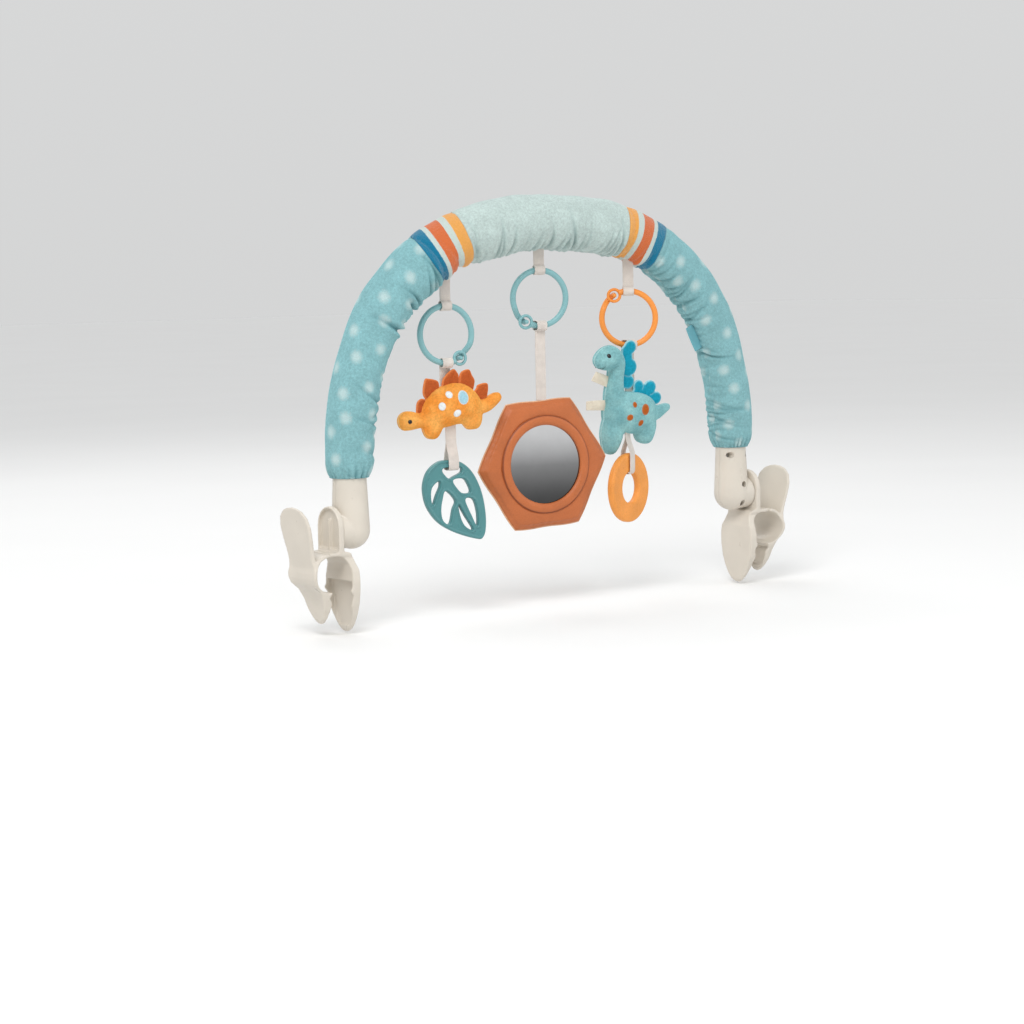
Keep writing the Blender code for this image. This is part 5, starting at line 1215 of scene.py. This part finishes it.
stego = {
    "name": "stego", "finish": "orangePlush", "slot": "orange_plush",
    "length": 0.110, "depth": 0.028,
    "place": inRing("left", shift=(0, 0, -0.040)),
    "limbs": (
        ((-0.250, -0.150, 0.070, 0.40), (-0.170, -0.095, 0.150, 0.90), (-0.020, -0.015, 0.195, 1.05),
         (0.120, 0.005, 0.195, 1.05), (0.240, -0.040, 0.155, 0.90), (0.345, -0.045, 0.060, 0.40)),
        ((-0.170, -0.135, 0.050, 0.46), (-0.235, -0.140, 0.062, 0.50), (-0.310, -0.140, 0.070, 0.60),
         (-0.415, -0.134, 0.106, 0.74), (-0.490, -0.146, 0.052, 0.38)),
        ((-0.100, -0.060, 0.100, 0.60), (-0.150, -0.140, 0.112, 0.70), (-0.160, -0.230, 0.100, 0.70),
         (-0.172, -0.325, 0.056, 0.42)),
        ((0.200, -0.030, 0.100, 0.60), (0.235, -0.100, 0.112, 0.70), (0.240, -0.170, 0.104, 0.70),
         (0.240, -0.255, 0.060, 0.42)),
        ((0.280, -0.050, 0.075, 0.50), (0.390, -0.035, 0.066, 0.46), (0.480, 0.030, 0.062, 0.42),
         (0.535, 0.065, 0.036, 0.26)),
    ),
    "plates": (
        ((-0.31, -0.03), (-0.295, 0.03), (-0.25, 0.055), (-0.21, 0.03), (-0.15, -0.06), (-0.21, -0.12),
         (-0.30, -0.09)),
        ((-0.24, 0.09), (-0.22, 0.22), (-0.18, 0.23), (-0.10, 0.21), (-0.08, 0.17), (-0.08, 0.05),
         (-0.17, 0.02)),
        ((-0.05, 0.19), (-0.01, 0.257), (0.062, 0.307), (0.096, 0.285), (0.118, 0.233), (0.10, 0.11),
         (-0.03, 0.11)),
        ((0.13, 0.26), (0.216, 0.30), (0.25, 0.247), (0.276, 0.184), (0.23, 0.07), (0.13, 0.11)),
        ((0.29, 0.126), (0.31, 0.157), (0.404, 0.165), (0.40, 0.058), (0.364, 0.03), (0.29, -0.02),
         (0.22, 0.02)),
    ),
    # across, up, half width, half height, tilt, thread
    "spots": (
        (-0.0036, 0.0093, 0.0037, 0.0037, 0, "whiteThread"),
        (0.0110, 0.0061, 0.0062, 0.0074, 0, "blueThread"),
        (-0.0119, -0.0018, 0.0038, 0.0043, 0, "whiteThread"),
        (0.0042, -0.0092, 0.0044, 0.0038, 20, "whiteThread"),
    ),
    "eye": (-0.0450, -0.0156, 0.0021),
}

bronto = {
    "name": "bronto", "finish": "tealPlush", "slot": "teal_plush",
    "length": 0.120, "depth": 0.030,
    "place": inRing("right", 9, (0, -0.010, 0)),
    "limbs": (
        ((-0.395, -0.140, 0.050, 0.40), (-0.315, -0.100, 0.108, 0.82), (-0.215, -0.075, 0.122, 0.88),
         (-0.165, -0.120, 0.082, 0.75), (-0.171, -0.220, 0.070, 0.66), (-0.180, -0.330, 0.080, 0.74),
         (-0.178, -0.430, 0.102, 0.80), (-0.150, -0.540, 0.110, 0.80)),
        ((-0.275, -0.560, 0.110, 0.55), (-0.170, -0.565, 0.180, 1.00), (0.010, -0.580, 0.190, 1.08),
         (0.140, -0.585, 0.178, 1.02), (0.262, -0.610, 0.085, 0.55)),
        ((-0.165, -0.600, 0.105, 0.66), (-0.172, -0.700, 0.112, 0.74), (-0.176, -0.830, 0.104, 0.70),
         (-0.180, -0.955, 0.062, 0.46)),
        ((0.140, -0.600, 0.100, 0.66), (0.165, -0.690, 0.112, 0.74), (0.165, -0.780, 0.102, 0.70),
         (0.160, -0.868, 0.060, 0.46)),
        ((0.200, -0.600, 0.080, 0.50), (0.300, -0.590, 0.056, 0.40), (0.370, -0.545, 0.044, 0.32),
         (0.410, -0.535, 0.024, 0.20)),
    ),
    "neckScallops": ((-0.044, -0.002, 0.062), (-0.042, -0.178, 0.080), (-0.040, -0.306, 0.062)),
    "neckBase": ((-0.110, -0.370), (-0.130, -0.010)),
    "backScallops": ((0.068, -0.344, 0.051), (0.188, -0.365, 0.064), (0.258, -0.462, 0.058)),
    "backBase": ((0.170, -0.560), (0.000, -0.440)),
    "trim": 24,
    "tags": (
        ("upper", ((-0.41, -0.283), (-0.372, -0.203), (-0.19, -0.27), (-0.19, -0.37))),
        ("lower", ((-0.445, -0.463), (-0.445, -0.54), (-0.22, -0.553), (-0.22, -0.457))),
    ),
    "spots": (
        (-0.0029, -0.0585, 0.0027, 0.0031, 0, "brownThread"),
        (0.0101, -0.0640, 0.0051, 0.0063, 0, "brownThread"),
        (-0.0082, -0.0717, 0.0039, 0.0037, 0, "brownThread"),
        (0.0060, -0.0782, 0.0031, 0.0038, -15, "brownThread"),
    ),
    "eye": (-0.0364, -0.0066, 0.0022),
    "smile": ((-0.0428, -0.0211), (-0.0413, -0.0209), (-0.0402, -0.0198), (-0.0393, -0.0175)),
}


def makeLimb(name, sections, toy):
    # oval sections along a bent line, rounded by subdivision
    length, depth = toy["length"], toy["depth"]
    spine = [Vector((x * length, 0, z * length)) for x, z, _, _ in sections]

    def place(u, v):
        rows = np.rint(v * (len(sections) - 1)).astype(int)
        turns = 2 * np.pi * u
        found = np.zeros((len(u), 3))
        for row, (_, _, wide, deep) in enumerate(sections):
            way = (spine[min(row + 1, len(spine) - 1)] - spine[max(row - 1, 0)]).normalized()
            here = rows == row
            reach = wide * length * plush["cage"] * np.cos(turns[here])
            found[here, 0] = spine[row].x + way.z * reach
            found[here, 1] = deep * depth / 2 * plush["cage"] * np.sin(turns[here])
            found[here, 2] = spine[row].z - way.x * reach
        return found

    piece = wrapGrid(name, 12, len(sections) - 1, place)
    activate(piece)
    bpy.ops.object.mode_set(mode="EDIT")
    bpy.ops.mesh.select_mode(type="EDGE")
    bpy.ops.mesh.select_all(action="DESELECT")
    bpy.ops.mesh.select_non_manifold()
    bpy.ops.mesh.fill_holes(sides=0)
    bpy.ops.mesh.select_all(action="SELECT")
    bpy.ops.mesh.normals_make_consistent(inside=False)
    bpy.ops.object.mode_set(mode="OBJECT")
    return bake(piece, "SUBSURF", levels=2, render_levels=2)


def onSurface(target, x, z, side):
    hit, place, normal, _ = target.ray_cast((x, side * 0.06, z), (0, -side, 0))
    return (place, normal) if hit else (Vector((x, 0, z)), Vector((0, side, 0)))


def sewPatch(name, toy, target, side, thread, across, up, wide, tall, tilt=0, dome=plush["patchDome"]):
    # an embroidered oval that follows the cloth
    turn = math.radians(tilt)
    cos, sin = math.cos(turn), math.sin(turn)

    def place(u, v):
        turns = 2 * np.pi * u
        a, b = wide * v * np.cos(turns), tall * v * np.sin(turns)
        found = []
        for x, z, share in zip(across + a * cos - b * sin, up + a * sin + b * cos, v):
            spot, normal = onSurface(target, x, z, side)
            height = plush["patchLift"] * (1 - share ** 8) + dome * (1 - share ** 2)
            found.append(spot + normal * (height - plush["patchSink"]))
        return np.array(found)

    patch = wrapGrid(name, 28, 8, place, (2 * math.pi * wide, tall))
    x, z = (getPoints(patch)[:, [0, 2]] - (across, up)).T
    rounds = ((x * cos + z * sin) / wide) ** 2 + ((z * cos - x * sin) / tall) ** 2
    markTint(patch, np.clip(rounds, 0, 1) ** 3)
    finishPiece(patch, name, toy["name"], thread, "", toy["place"])


def sewSmile(name, toy, body, side):
    line = np.array(toy["smile"])
    places = []
    for a, b in zip(line, line[1:]):
        for share in (0.25, 0.75):
            spot, normal = onSurface(body, *(a + (b - a) * share), side)
            places.append(aim(spot + normal * 0.0001, (b[0] - a[0], 0, b[1] - a[1]), normal))
    smile = repeatPiece(name, addStitch(0.0020, 0.0006, 0.0003), places)
    finishPiece(smile, name, toy["name"], "eyeThread", "", toy["place"])


def makePlush(toy):
    name = toy["name"] + "Plush"
    limbs = [makeLimb(f"{name}{k}", rows, toy) for k, rows in enumerate(toy["limbs"])]
    body = remesh(join(name, limbs), plush["voxel"], plush["smoothing"])
    points = getPoints(body)
    rng = np.random.default_rng(3)
    lift = np.zeros(len(points))
    for _ in range(plush["lumps"]):  # stuffing that isn't even
        way, phase = rng.normal(size=3) * plush["lumpPitch"], rng.uniform(0, 6.3)
        lift += plush["lumpHeight"] * np.sin(points @ way + phase)
    sewn = plush["sewnDepth"] * np.cos((points[:, 0] + points[:, 2]) * plush["sewnPitch"])
    lift += (sewn - plush["seamDepth"]) * bell(points[:, 1], plush["seamWidth"])
    pushOut(body, lift)
    bake(body, "SUBSURF", levels=1, render_levels=1)
    # the tint mask along the side seam: painted highlight on the toy's edge
    markTint(body, bell(getPoints(body)[:, 1], plush["seamDepth"]))
    for face, side in faces:
        for index, (x, z, wide, tall, tilt, thread) in enumerate(toy["spots"]):
            label = f"{toy['name']}Spot{face}{index + 1}"
            sewPatch(label, toy, body, side, thread, x, z, wide, tall, tilt)
        x, z, radius = toy["eye"]
        label = f"{toy['name']}Eye{face}"
        tall, dome = radius * 1.05, plush["eyeDome"]
        sewPatch(label, toy, body, side, "eyeThread", x, z, radius, tall, dome=dome)
        if "smile" in toy:
            sewSmile(f"{toy['name']}Smile{face}", toy, body, side)
    parts = ("body", "head", "front_leg", "back_leg", "tail")
    nodes = " ".join(f"{toy['name']}_{part}" for part in parts)
    finishPiece(body, name, toy["name"], toy["finish"], nodes, toy["place"])


def puffedFelt(name, loop, thickness, groove, discs=(), fold=None):
    # two felt faces sewn round the edge, with the seam and a stitched line beside it;
    # discs adds the sewn lines between scallops, and fold a crease from the root to the tip
    piece = remesh(flatPiece(name, [loop], thickness), felt["voxel"], 3)
    points = getPoints(piece)
    flat = points[:, [0, 2]]
    off = distanceTo(loop, flat)
    line = 0.22 * bell(off - groove, felt["lineWidth"])
    seam = bell(off, felt["seamWidth"])
    for (x, z, radius), (nextX, nextZ, nextRadius) in zip(discs, discs[1:]):
        near = bell(np.hypot(flat[:, 0] - x, flat[:, 1] - z) - radius, felt["foldWidth"])
        near *= np.hypot(flat[:, 0] - nextX, flat[:, 1] - nextZ) < 1.3 * nextRadius
        line = np.maximum(line, 0.55 * near)
        seam = np.maximum(seam, 0.40 * near)
    if fold:
        line = np.maximum(line, 0.30 * bell(distanceTo(np.array(fold), flat), felt["foldWidth"]))
    points[:, 1] *= (0.28 + 0.72 * roundedEdge(off, felt["edge"])) * (1 - line)
    setPoints(piece, points)
    bake(piece, "SMOOTH", factor=0.5, iterations=1)
    markTint(piece, seam)
    return piece


def makeStegoPlates():
    for index, outline in enumerate(stego["plates"]):
        name, node = f"stegoPlate{index + 1}", f"stego_plate_{index + 1}"
        loop = smoothLoop(np.array(outline) * stego["length"], 90)
        tip = loop[np.argmax(np.linalg.norm(loop - (0, -0.02), axis=1))]
        middle = loop.mean(axis=0)
        fold = (middle + 0.75 * (tip - middle), 1.6 * middle - 0.6 * tip)
        plate = puffedFelt(name, loop, felt["plate"], felt["plateGroove"], fold=fold)
        finishPiece(plate, name, "stego", "rustFelt", node, stego["place"])


def scallops(discs, base):
    # an outline of discs in a row, closed inside the toy
    row = [(*base[0], 0), *reversed(discs), (*base[1], 0)]
    line = [base[0]]
    for (firstX, firstZ, _), (x, z, radius), (lastX, lastZ, _) in zip(row, row[1:], row[2:]):
        start = math.degrees(math.atan2(firstZ - z, firstX - x))
        span = (math.degrees(math.atan2(lastZ - z, lastX - x)) - start) % 360 - 2 * bronto["trim"]
        start += bronto["trim"]
        for turn in np.radians(np.linspace(start, start + span, 24)):
            line.append((x + radius * math.cos(turn), z + radius * math.sin(turn)))
    line.append(base[1])
    return evenLoop(np.array(line) * bronto["length"], 160)


def makeScallops():
    for part, label in (("neck", "Neck"), ("back", "Back")):
        discs, name = bronto[part + "Scallops"], f"bronto{label}Scallops"
        loop = scallops(discs, bronto[part + "Base"])
        discs = np.array(discs) * bronto["length"]
        piece = puffedFelt(name, loop, felt["scallop"], felt["scallopGroove"], discs)
        node = f"bronto_{part}_spines"
        finishPiece(piece, name, "bronto", "blueFelt", node, bronto["place"])


def makeTags():
    # ribbon folded once
    for part, outline in bronto["tags"]:
        corners = np.array(outline) * bronto["length"]

        def place(u, v):
            top = corners[0] + (corners[3] - corners[0]) * u[:, None]
            low = corners[1] + (corners[2] - corners[1]) * u[:, None]
            flat = top + (low - top) * v[:, None]
            bulge = 0.0006 * np.sin(np.pi * np.clip(u * 1.2, 0, 1)) + 0.0004 * np.sin(v * 5 + u * 4)
            return np.stack([flat[:, 0], bulge, flat[:, 1]], axis=1)

        name, node = f"bronto{part.title()}Tag", f"bronto_{part}_tag"
        piece = thicken(wrapGrid(name, 30, 14, place, (0.026, 0.009)), 0.0011, 0.0003, 3)
        finishPiece(piece, name, "bronto", "ribbon", node, bronto["place"], 40)


makePlush(stego)
makeStegoPlates()
makePlush(bronto)
makeScallops()
makeTags()
print("plush toys done")

# the mirror pad

pad = {
    "place": inRing("center", shift=(0, 0, -0.140)),
    "corner": 0.075, "round": 0.002, "draw": 0.0015, "roll": math.radians(3.5),
    "depth": 0.0078, "leather": 0.0012, "welt": 0.049, "rise": 0.0011, "opening": 0.041,
    "binding": 0.0009, "sides": 240, "mapSize": (0.40, 0.08),
    # name, finish, count, radius, height off the middle, lean, size of a stitch
    "stitches": (
        # the welt stitches' dark finish is painted shade of the groove
        ("weltStitches", "grooveShade", 112, 0.0496, 0.0066, 0, (0.0019, 0.0006, 0.00035)),
        ("openingStitches", "paleThread", 100, 0.0420, 0.0083, 0.6, (0.0018, 0.0010, 0.0005)),
    ),
}
padFlat = pad["corner"] * math.cos(math.pi / 6)


def padRing(turn, share, radius):
    # between a hexagon with rounded corners and a circle
    sixth = math.pi / 3
    off = np.mod(turn + sixth / 2, sixth) - sixth / 2
    straight = padFlat / np.cos(np.abs(off) - sixth / 2)
    rounding = pad["round"] * np.maximum(0, 1 - np.abs(off) / (sixth / 3)) ** 2
    drawn = pad["draw"] * np.sin(3 * off) ** 2
    blend = (straight - rounding - drawn) / padFlat
    return radius * (share * blend + 1 - share)


def padPlace(turn, reach, depth):
    turn = turn + pad["roll"]
    return np.stack([reach * np.cos(turn), depth, reach * np.sin(turn)], axis=1)


def padSection(points, count):
    # a smooth section through a few rows
    points = np.array(points, float)
    at = np.linspace(0, len(points) - 1, count)
    low = np.clip(np.floor(at).astype(int), 0, len(points) - 2)
    rows = [points[np.clip(low + k, 0, len(points) - 1)] for k in (-1, 0, 1, 2)]
    return curveThrough(*rows, (at - low)[:, None])


def padSurface(name, rows, puckers):
    # rows of share, radius, depth; puckers add soft gathers along the edge seam
    def place(u, v):
        at, numbers = v * (len(rows) - 1), np.arange(len(rows))
        share, radius, depth = (np.interp(at, numbers, rows[:, k]) for k in range(3))
        turn = 2 * np.pi * u
        wave = np.cos(52 * turn + 2 * np.sin(5 * turn)) * (0.6 + 0.4 * np.sin(7 * turn + 1))
        slow = np.sin(9 * turn + 2 * np.sin(2 * turn))
        lift = puckers * bell(radius - 0.061, 0.004) * wave
        lift += 0.00035 * bell(radius - 0.055, 0.006) * slow
        return padPlace(turn, padRing(turn, share, radius), depth + np.sign(depth) * lift)

    piece = wrapGrid(name, pad["sides"], len(rows) - 1, place, pad["mapSize"])
    return bake(piece, "SOLIDIFY", thickness=pad["leather"], offset=-1)


def finishPanel(panel, name, node):
    finishPiece(panel, name, "mirror", "tanLeather", node, pad["place"])


def makeMirrorPad():
    top, welt, opening = pad["depth"], pad["welt"], pad["opening"]
    middle = (padFlat * 2 + welt) / 3
    outer = padSection([
        (1.0, padFlat, -0.0004), (1.0, padFlat - 0.0006, -0.0022), (0.97, padFlat - 0.0035, -0.0046),
        (0.8, middle, -0.0066), (0.5, (middle + welt) / 2, -0.0076), (0.2, welt + 0.0014, -0.0074),
        (0.1, welt + 0.0002, -0.0064),
    ], 44)
    # the rolled welt, from the opening over to its outer foot
    mid, half, sunk = (welt + opening) / 2, (welt - opening) / 2, 0.0012
    roll = [
        (0.0, mid + half * math.cos(turn), -top + sunk - (pad["rise"] + sunk) * math.sin(turn))
        for turn in np.linspace(math.pi * 1.06, 0, 22)[1:]
    ]
    inner = [(0.0, opening, -top + 0.0015), (0.0, opening + 0.0002, -top + 0.0030)]
    front = padSurface("mirrorFront", np.vstack([outer, roll, inner]), 0.00030)
    points = getPoints(front)
    # the tint mask along the welt's groove, for its painted shade
    markTint(front, bell(np.hypot(points[:, 0], points[:, 2]) - welt - 0.0004, 0.0006))
    finishPanel(front, "mirrorFrontPanel", "mirror_front_panel")

    rows = padSection([
        (1.0, padFlat, 0.0004), (1.0, padFlat - 0.0006, 0.0022), (0.97, padFlat - 0.0035, 0.0044),
        (0.8, middle, 0.0062), (0.5, welt, 0.0074), (0.2, welt * 0.75, 0.0078),
        (0.1, welt * 0.4, 0.0079), (0.0, 0.004, 0.0079), (0.0, 0.0, 0.0079),
    ], 56)
    finishPanel(padSurface("mirrorBack", rows, 0.00035), "mirrorBackPanel", "mirror_back_panel")

    # the edge seam: a thin pale binding between the panels
    def binding(u, v):
        turn, around, thin = 2 * np.pi * u, 2 * np.pi * v, pad["binding"]
        reach = padRing(turn, 1.0, padFlat) + 0.0002 + thin * np.cos(around)
        return padPlace(turn, reach, thin * np.sin(around))

    edgeSeam = wrapGrid("mirrorEdgeSeam", 300, 10, binding, (0.40, 0.006))
    finishPiece(edgeSeam, "mirrorEdgeSeam", "mirror", "paleLeather", "", pad["place"])

    for number, (name, finish, count, radius, depth, lean, size) in enumerate(pad["stitches"]):
        places = []
        for index in range(count):
            turn = 2 * math.pi * (index + number / 2) / count
            x, z = math.cos(turn), math.sin(turn)
            places.append(aim((radius * x, -depth, radius * z), (-z, 0, x), (-lean * x, -1, -lean * z)))
        stitches = repeatPiece(name, addStitch(*size), places)
        finishPiece(stitches, name, "mirror", finish, "", pad["place"])
    keepNode("mirror_disc", "mirrorFilm")
    keepNode("mirror_padding", "foamPad")


makeMirrorPad()
print("mirror pad done")

# teethers

leaf = {
    "height": 0.081, "thickness": 0.008, "rounding": 0.0015, "lip": 0.0017, "lipEase": 0.0012,
    "voxel": 0.00055,
    "outline": (
        (-0.075, 0.048), (0.058, 0.037), (0.170, -0.017), (0.264, -0.109), (0.338, -0.233),
        (0.393, -0.375), (0.427, -0.532), (0.443, -0.707), (0.430, -0.862), (0.389, -0.937),
        (0.341, -0.946), (0.188, -0.906), (-0.002, -0.833), (-0.170, -0.736), (-0.281, -0.625),
        (-0.363, -0.483), (-0.396, -0.327), (-0.388, -0.209), (-0.343, -0.091), (-0.265, -0.010),
        (-0.170, 0.040),
    ),
    "holes": (
        ((-0.135, -0.090), (-0.105, -0.048), (0.095, -0.048), (0.118, -0.105), (0.015, -0.155),
         (-0.052, -0.178)),
        ((-0.195, -0.220), (-0.181, -0.272), (-0.228, -0.372), (-0.268, -0.472), (-0.290, -0.385),
         (-0.273, -0.283)),
        ((-0.095, -0.354), (0.016, -0.464), (-0.015, -0.557), (-0.056, -0.709), (-0.131, -0.669),
         (-0.153, -0.565), (-0.135, -0.446)),
        ((0.022, -0.215), (0.147, -0.205), (0.212, -0.295), (0.220, -0.356), (0.143, -0.359),
         (0.086, -0.322)),
        ((0.179, -0.465), (0.275, -0.472), (0.320, -0.612), (0.316, -0.759), (0.252, -0.642)),
        ((0.081, -0.528), (0.156, -0.653), (0.248, -0.798), (0.218, -0.804), (0.153, -0.757),
         (0.107, -0.668)),
    ),
    "growth": 1.14,
}

ringTeether = {
    "drop": 0.0261, "outer": 0.0362, "inner": 0.016, "thickness": 0.008, "corner": 0.0028,
    "slice": 0.002,
}


def makeLeaf():
    loops = [smoothLoop(np.array(leaf["outline"]) * leaf["height"], 240)]
    for index, hole in enumerate(leaf["holes"]):
        points = np.array(hole) * leaf["height"]
        middle = points.mean(axis=0)
        growth = leaf["growth"] if index else 1.0
        loops.append(smoothLoop(middle + (points - middle) * growth, 90))
    piece = remesh(flatPiece("leaf", loops, leaf["thickness"]), leaf["voxel"], 2)
    points = getPoints(piece)
    off = np.min([distanceTo(loop, points[:, [0, 2]]) for loop in loops], axis=0)
    # a rounded lip along the rim and round each hole, a little proud of the web
    web = ease(np.clip((off - leaf["lip"]) / leaf["lipEase"], 0, 1))
    points[:, 1] *= (0.40 + 0.60 * roundedEdge(off, leaf["rounding"])) * (1 - 0.24 * web)
    setPoints(piece, points)
    bake(piece, "SMOOTH", factor=0.5, iterations=5)
    place = leafTape["place"]
    finishPiece(piece, "leafTeether", "leaf", "leafSilicone", "leaf_teether", place)


def makeRingTeether():
    deselectAll()
    middle = (ringTeether["outer"] + ringTeether["inner"]) / 2
    size = (ringTeether["outer"] - ringTeether["inner"], ringTeether["thickness"], ringTeether["slice"])
    bpy.ops.mesh.primitive_cube_add(size=1, location=(middle, 0, 0), scale=size)
    piece = takeNew("ring")
    # one flat face of the block, bevelled at its corners and spun round
    for face in piece.data.polygons:
        face.select = face.normal.z < 0.9
    bpy.context.tool_settings.mesh_select_mode = (False, False, True)
    bpy.ops.object.mode_set(mode="EDIT")
    bpy.ops.mesh.delete(type="FACE")
    bpy.ops.mesh.select_mode(type="VERT")
    bpy.ops.mesh.select_all(action="SELECT")
    bpy.ops.mesh.bevel(offset=ringTeether["corner"], segments=6, affect="VERTICES")
    bpy.ops.mesh.select_all(action="SELECT")
    bpy.ops.mesh.delete(type="ONLY_FACE")
    bpy.ops.mesh.select_all(action="SELECT")
    bpy.ops.transform.translate(value=(0, 0, -ringTeether["slice"] / 2))
    bpy.ops.mesh.select_all(action="SELECT")
    bpy.ops.mesh.spin(steps=160, angle=2 * math.pi, center=(0, 0, 0), axis=(0, 1, 0))
    bpy.ops.mesh.select_all(action="SELECT")
    bpy.ops.mesh.remove_doubles(threshold=0.00001)
    bpy.ops.mesh.normals_make_consistent(inside=False)
    bpy.ops.object.mode_set(mode="OBJECT")
    bake(piece, "SUBSURF", levels=1, render_levels=1)
    place = hang(teetherTape["at"] - Vector((0, 0, ringTeether["drop"])), teetherTape["yaw"])
    finishPiece(piece, "ringTeether", "teether", "ringRubber", "ring_teether", place)


makeLeaf()
makeRingTeether()
print("teethers done")

# the side tag on the right leg, and the inner parts

sideTag = {"share": 0.83, "length": 0.028, "depth": 0.010, "sewn": 0.0022, "thickness": 0.0013}


def makeSideTag():
    s = sleeveStart + sideTag["share"] * (sleeveEnd - sleeveStart)
    x, z, tx, tz = pathAt(s)
    start = plainRadius(s) - sideTag["sewn"]

    def place(u, v):
        depth = start + (sideTag["depth"] + sideTag["sewn"]) * v
        side = (u - 0.5) * sideTag["length"] * (1 - 0.02 * v)
        curl = 0.0009 * np.sin(v * 2.2) * np.sin(u * 3 + 0.5)
        return np.stack([x + tz * depth + tx * side, curl, z - tx * depth + tz * side], axis=1)

    piece = wrapGrid("sideTag", 40, 16, place, (sideTag["length"], sideTag["depth"]))
    thicken(piece, sideTag["thickness"], 0.0003, 3)
    finishPiece(piece, "sideTag", "arch", "sideRibbon", "side_tag", angle=40)


makeSideTag()
keepNode("arch_core", "corePlastic")
keepNode("arch_foam", "foamPad")
print("side tag and inner parts done")
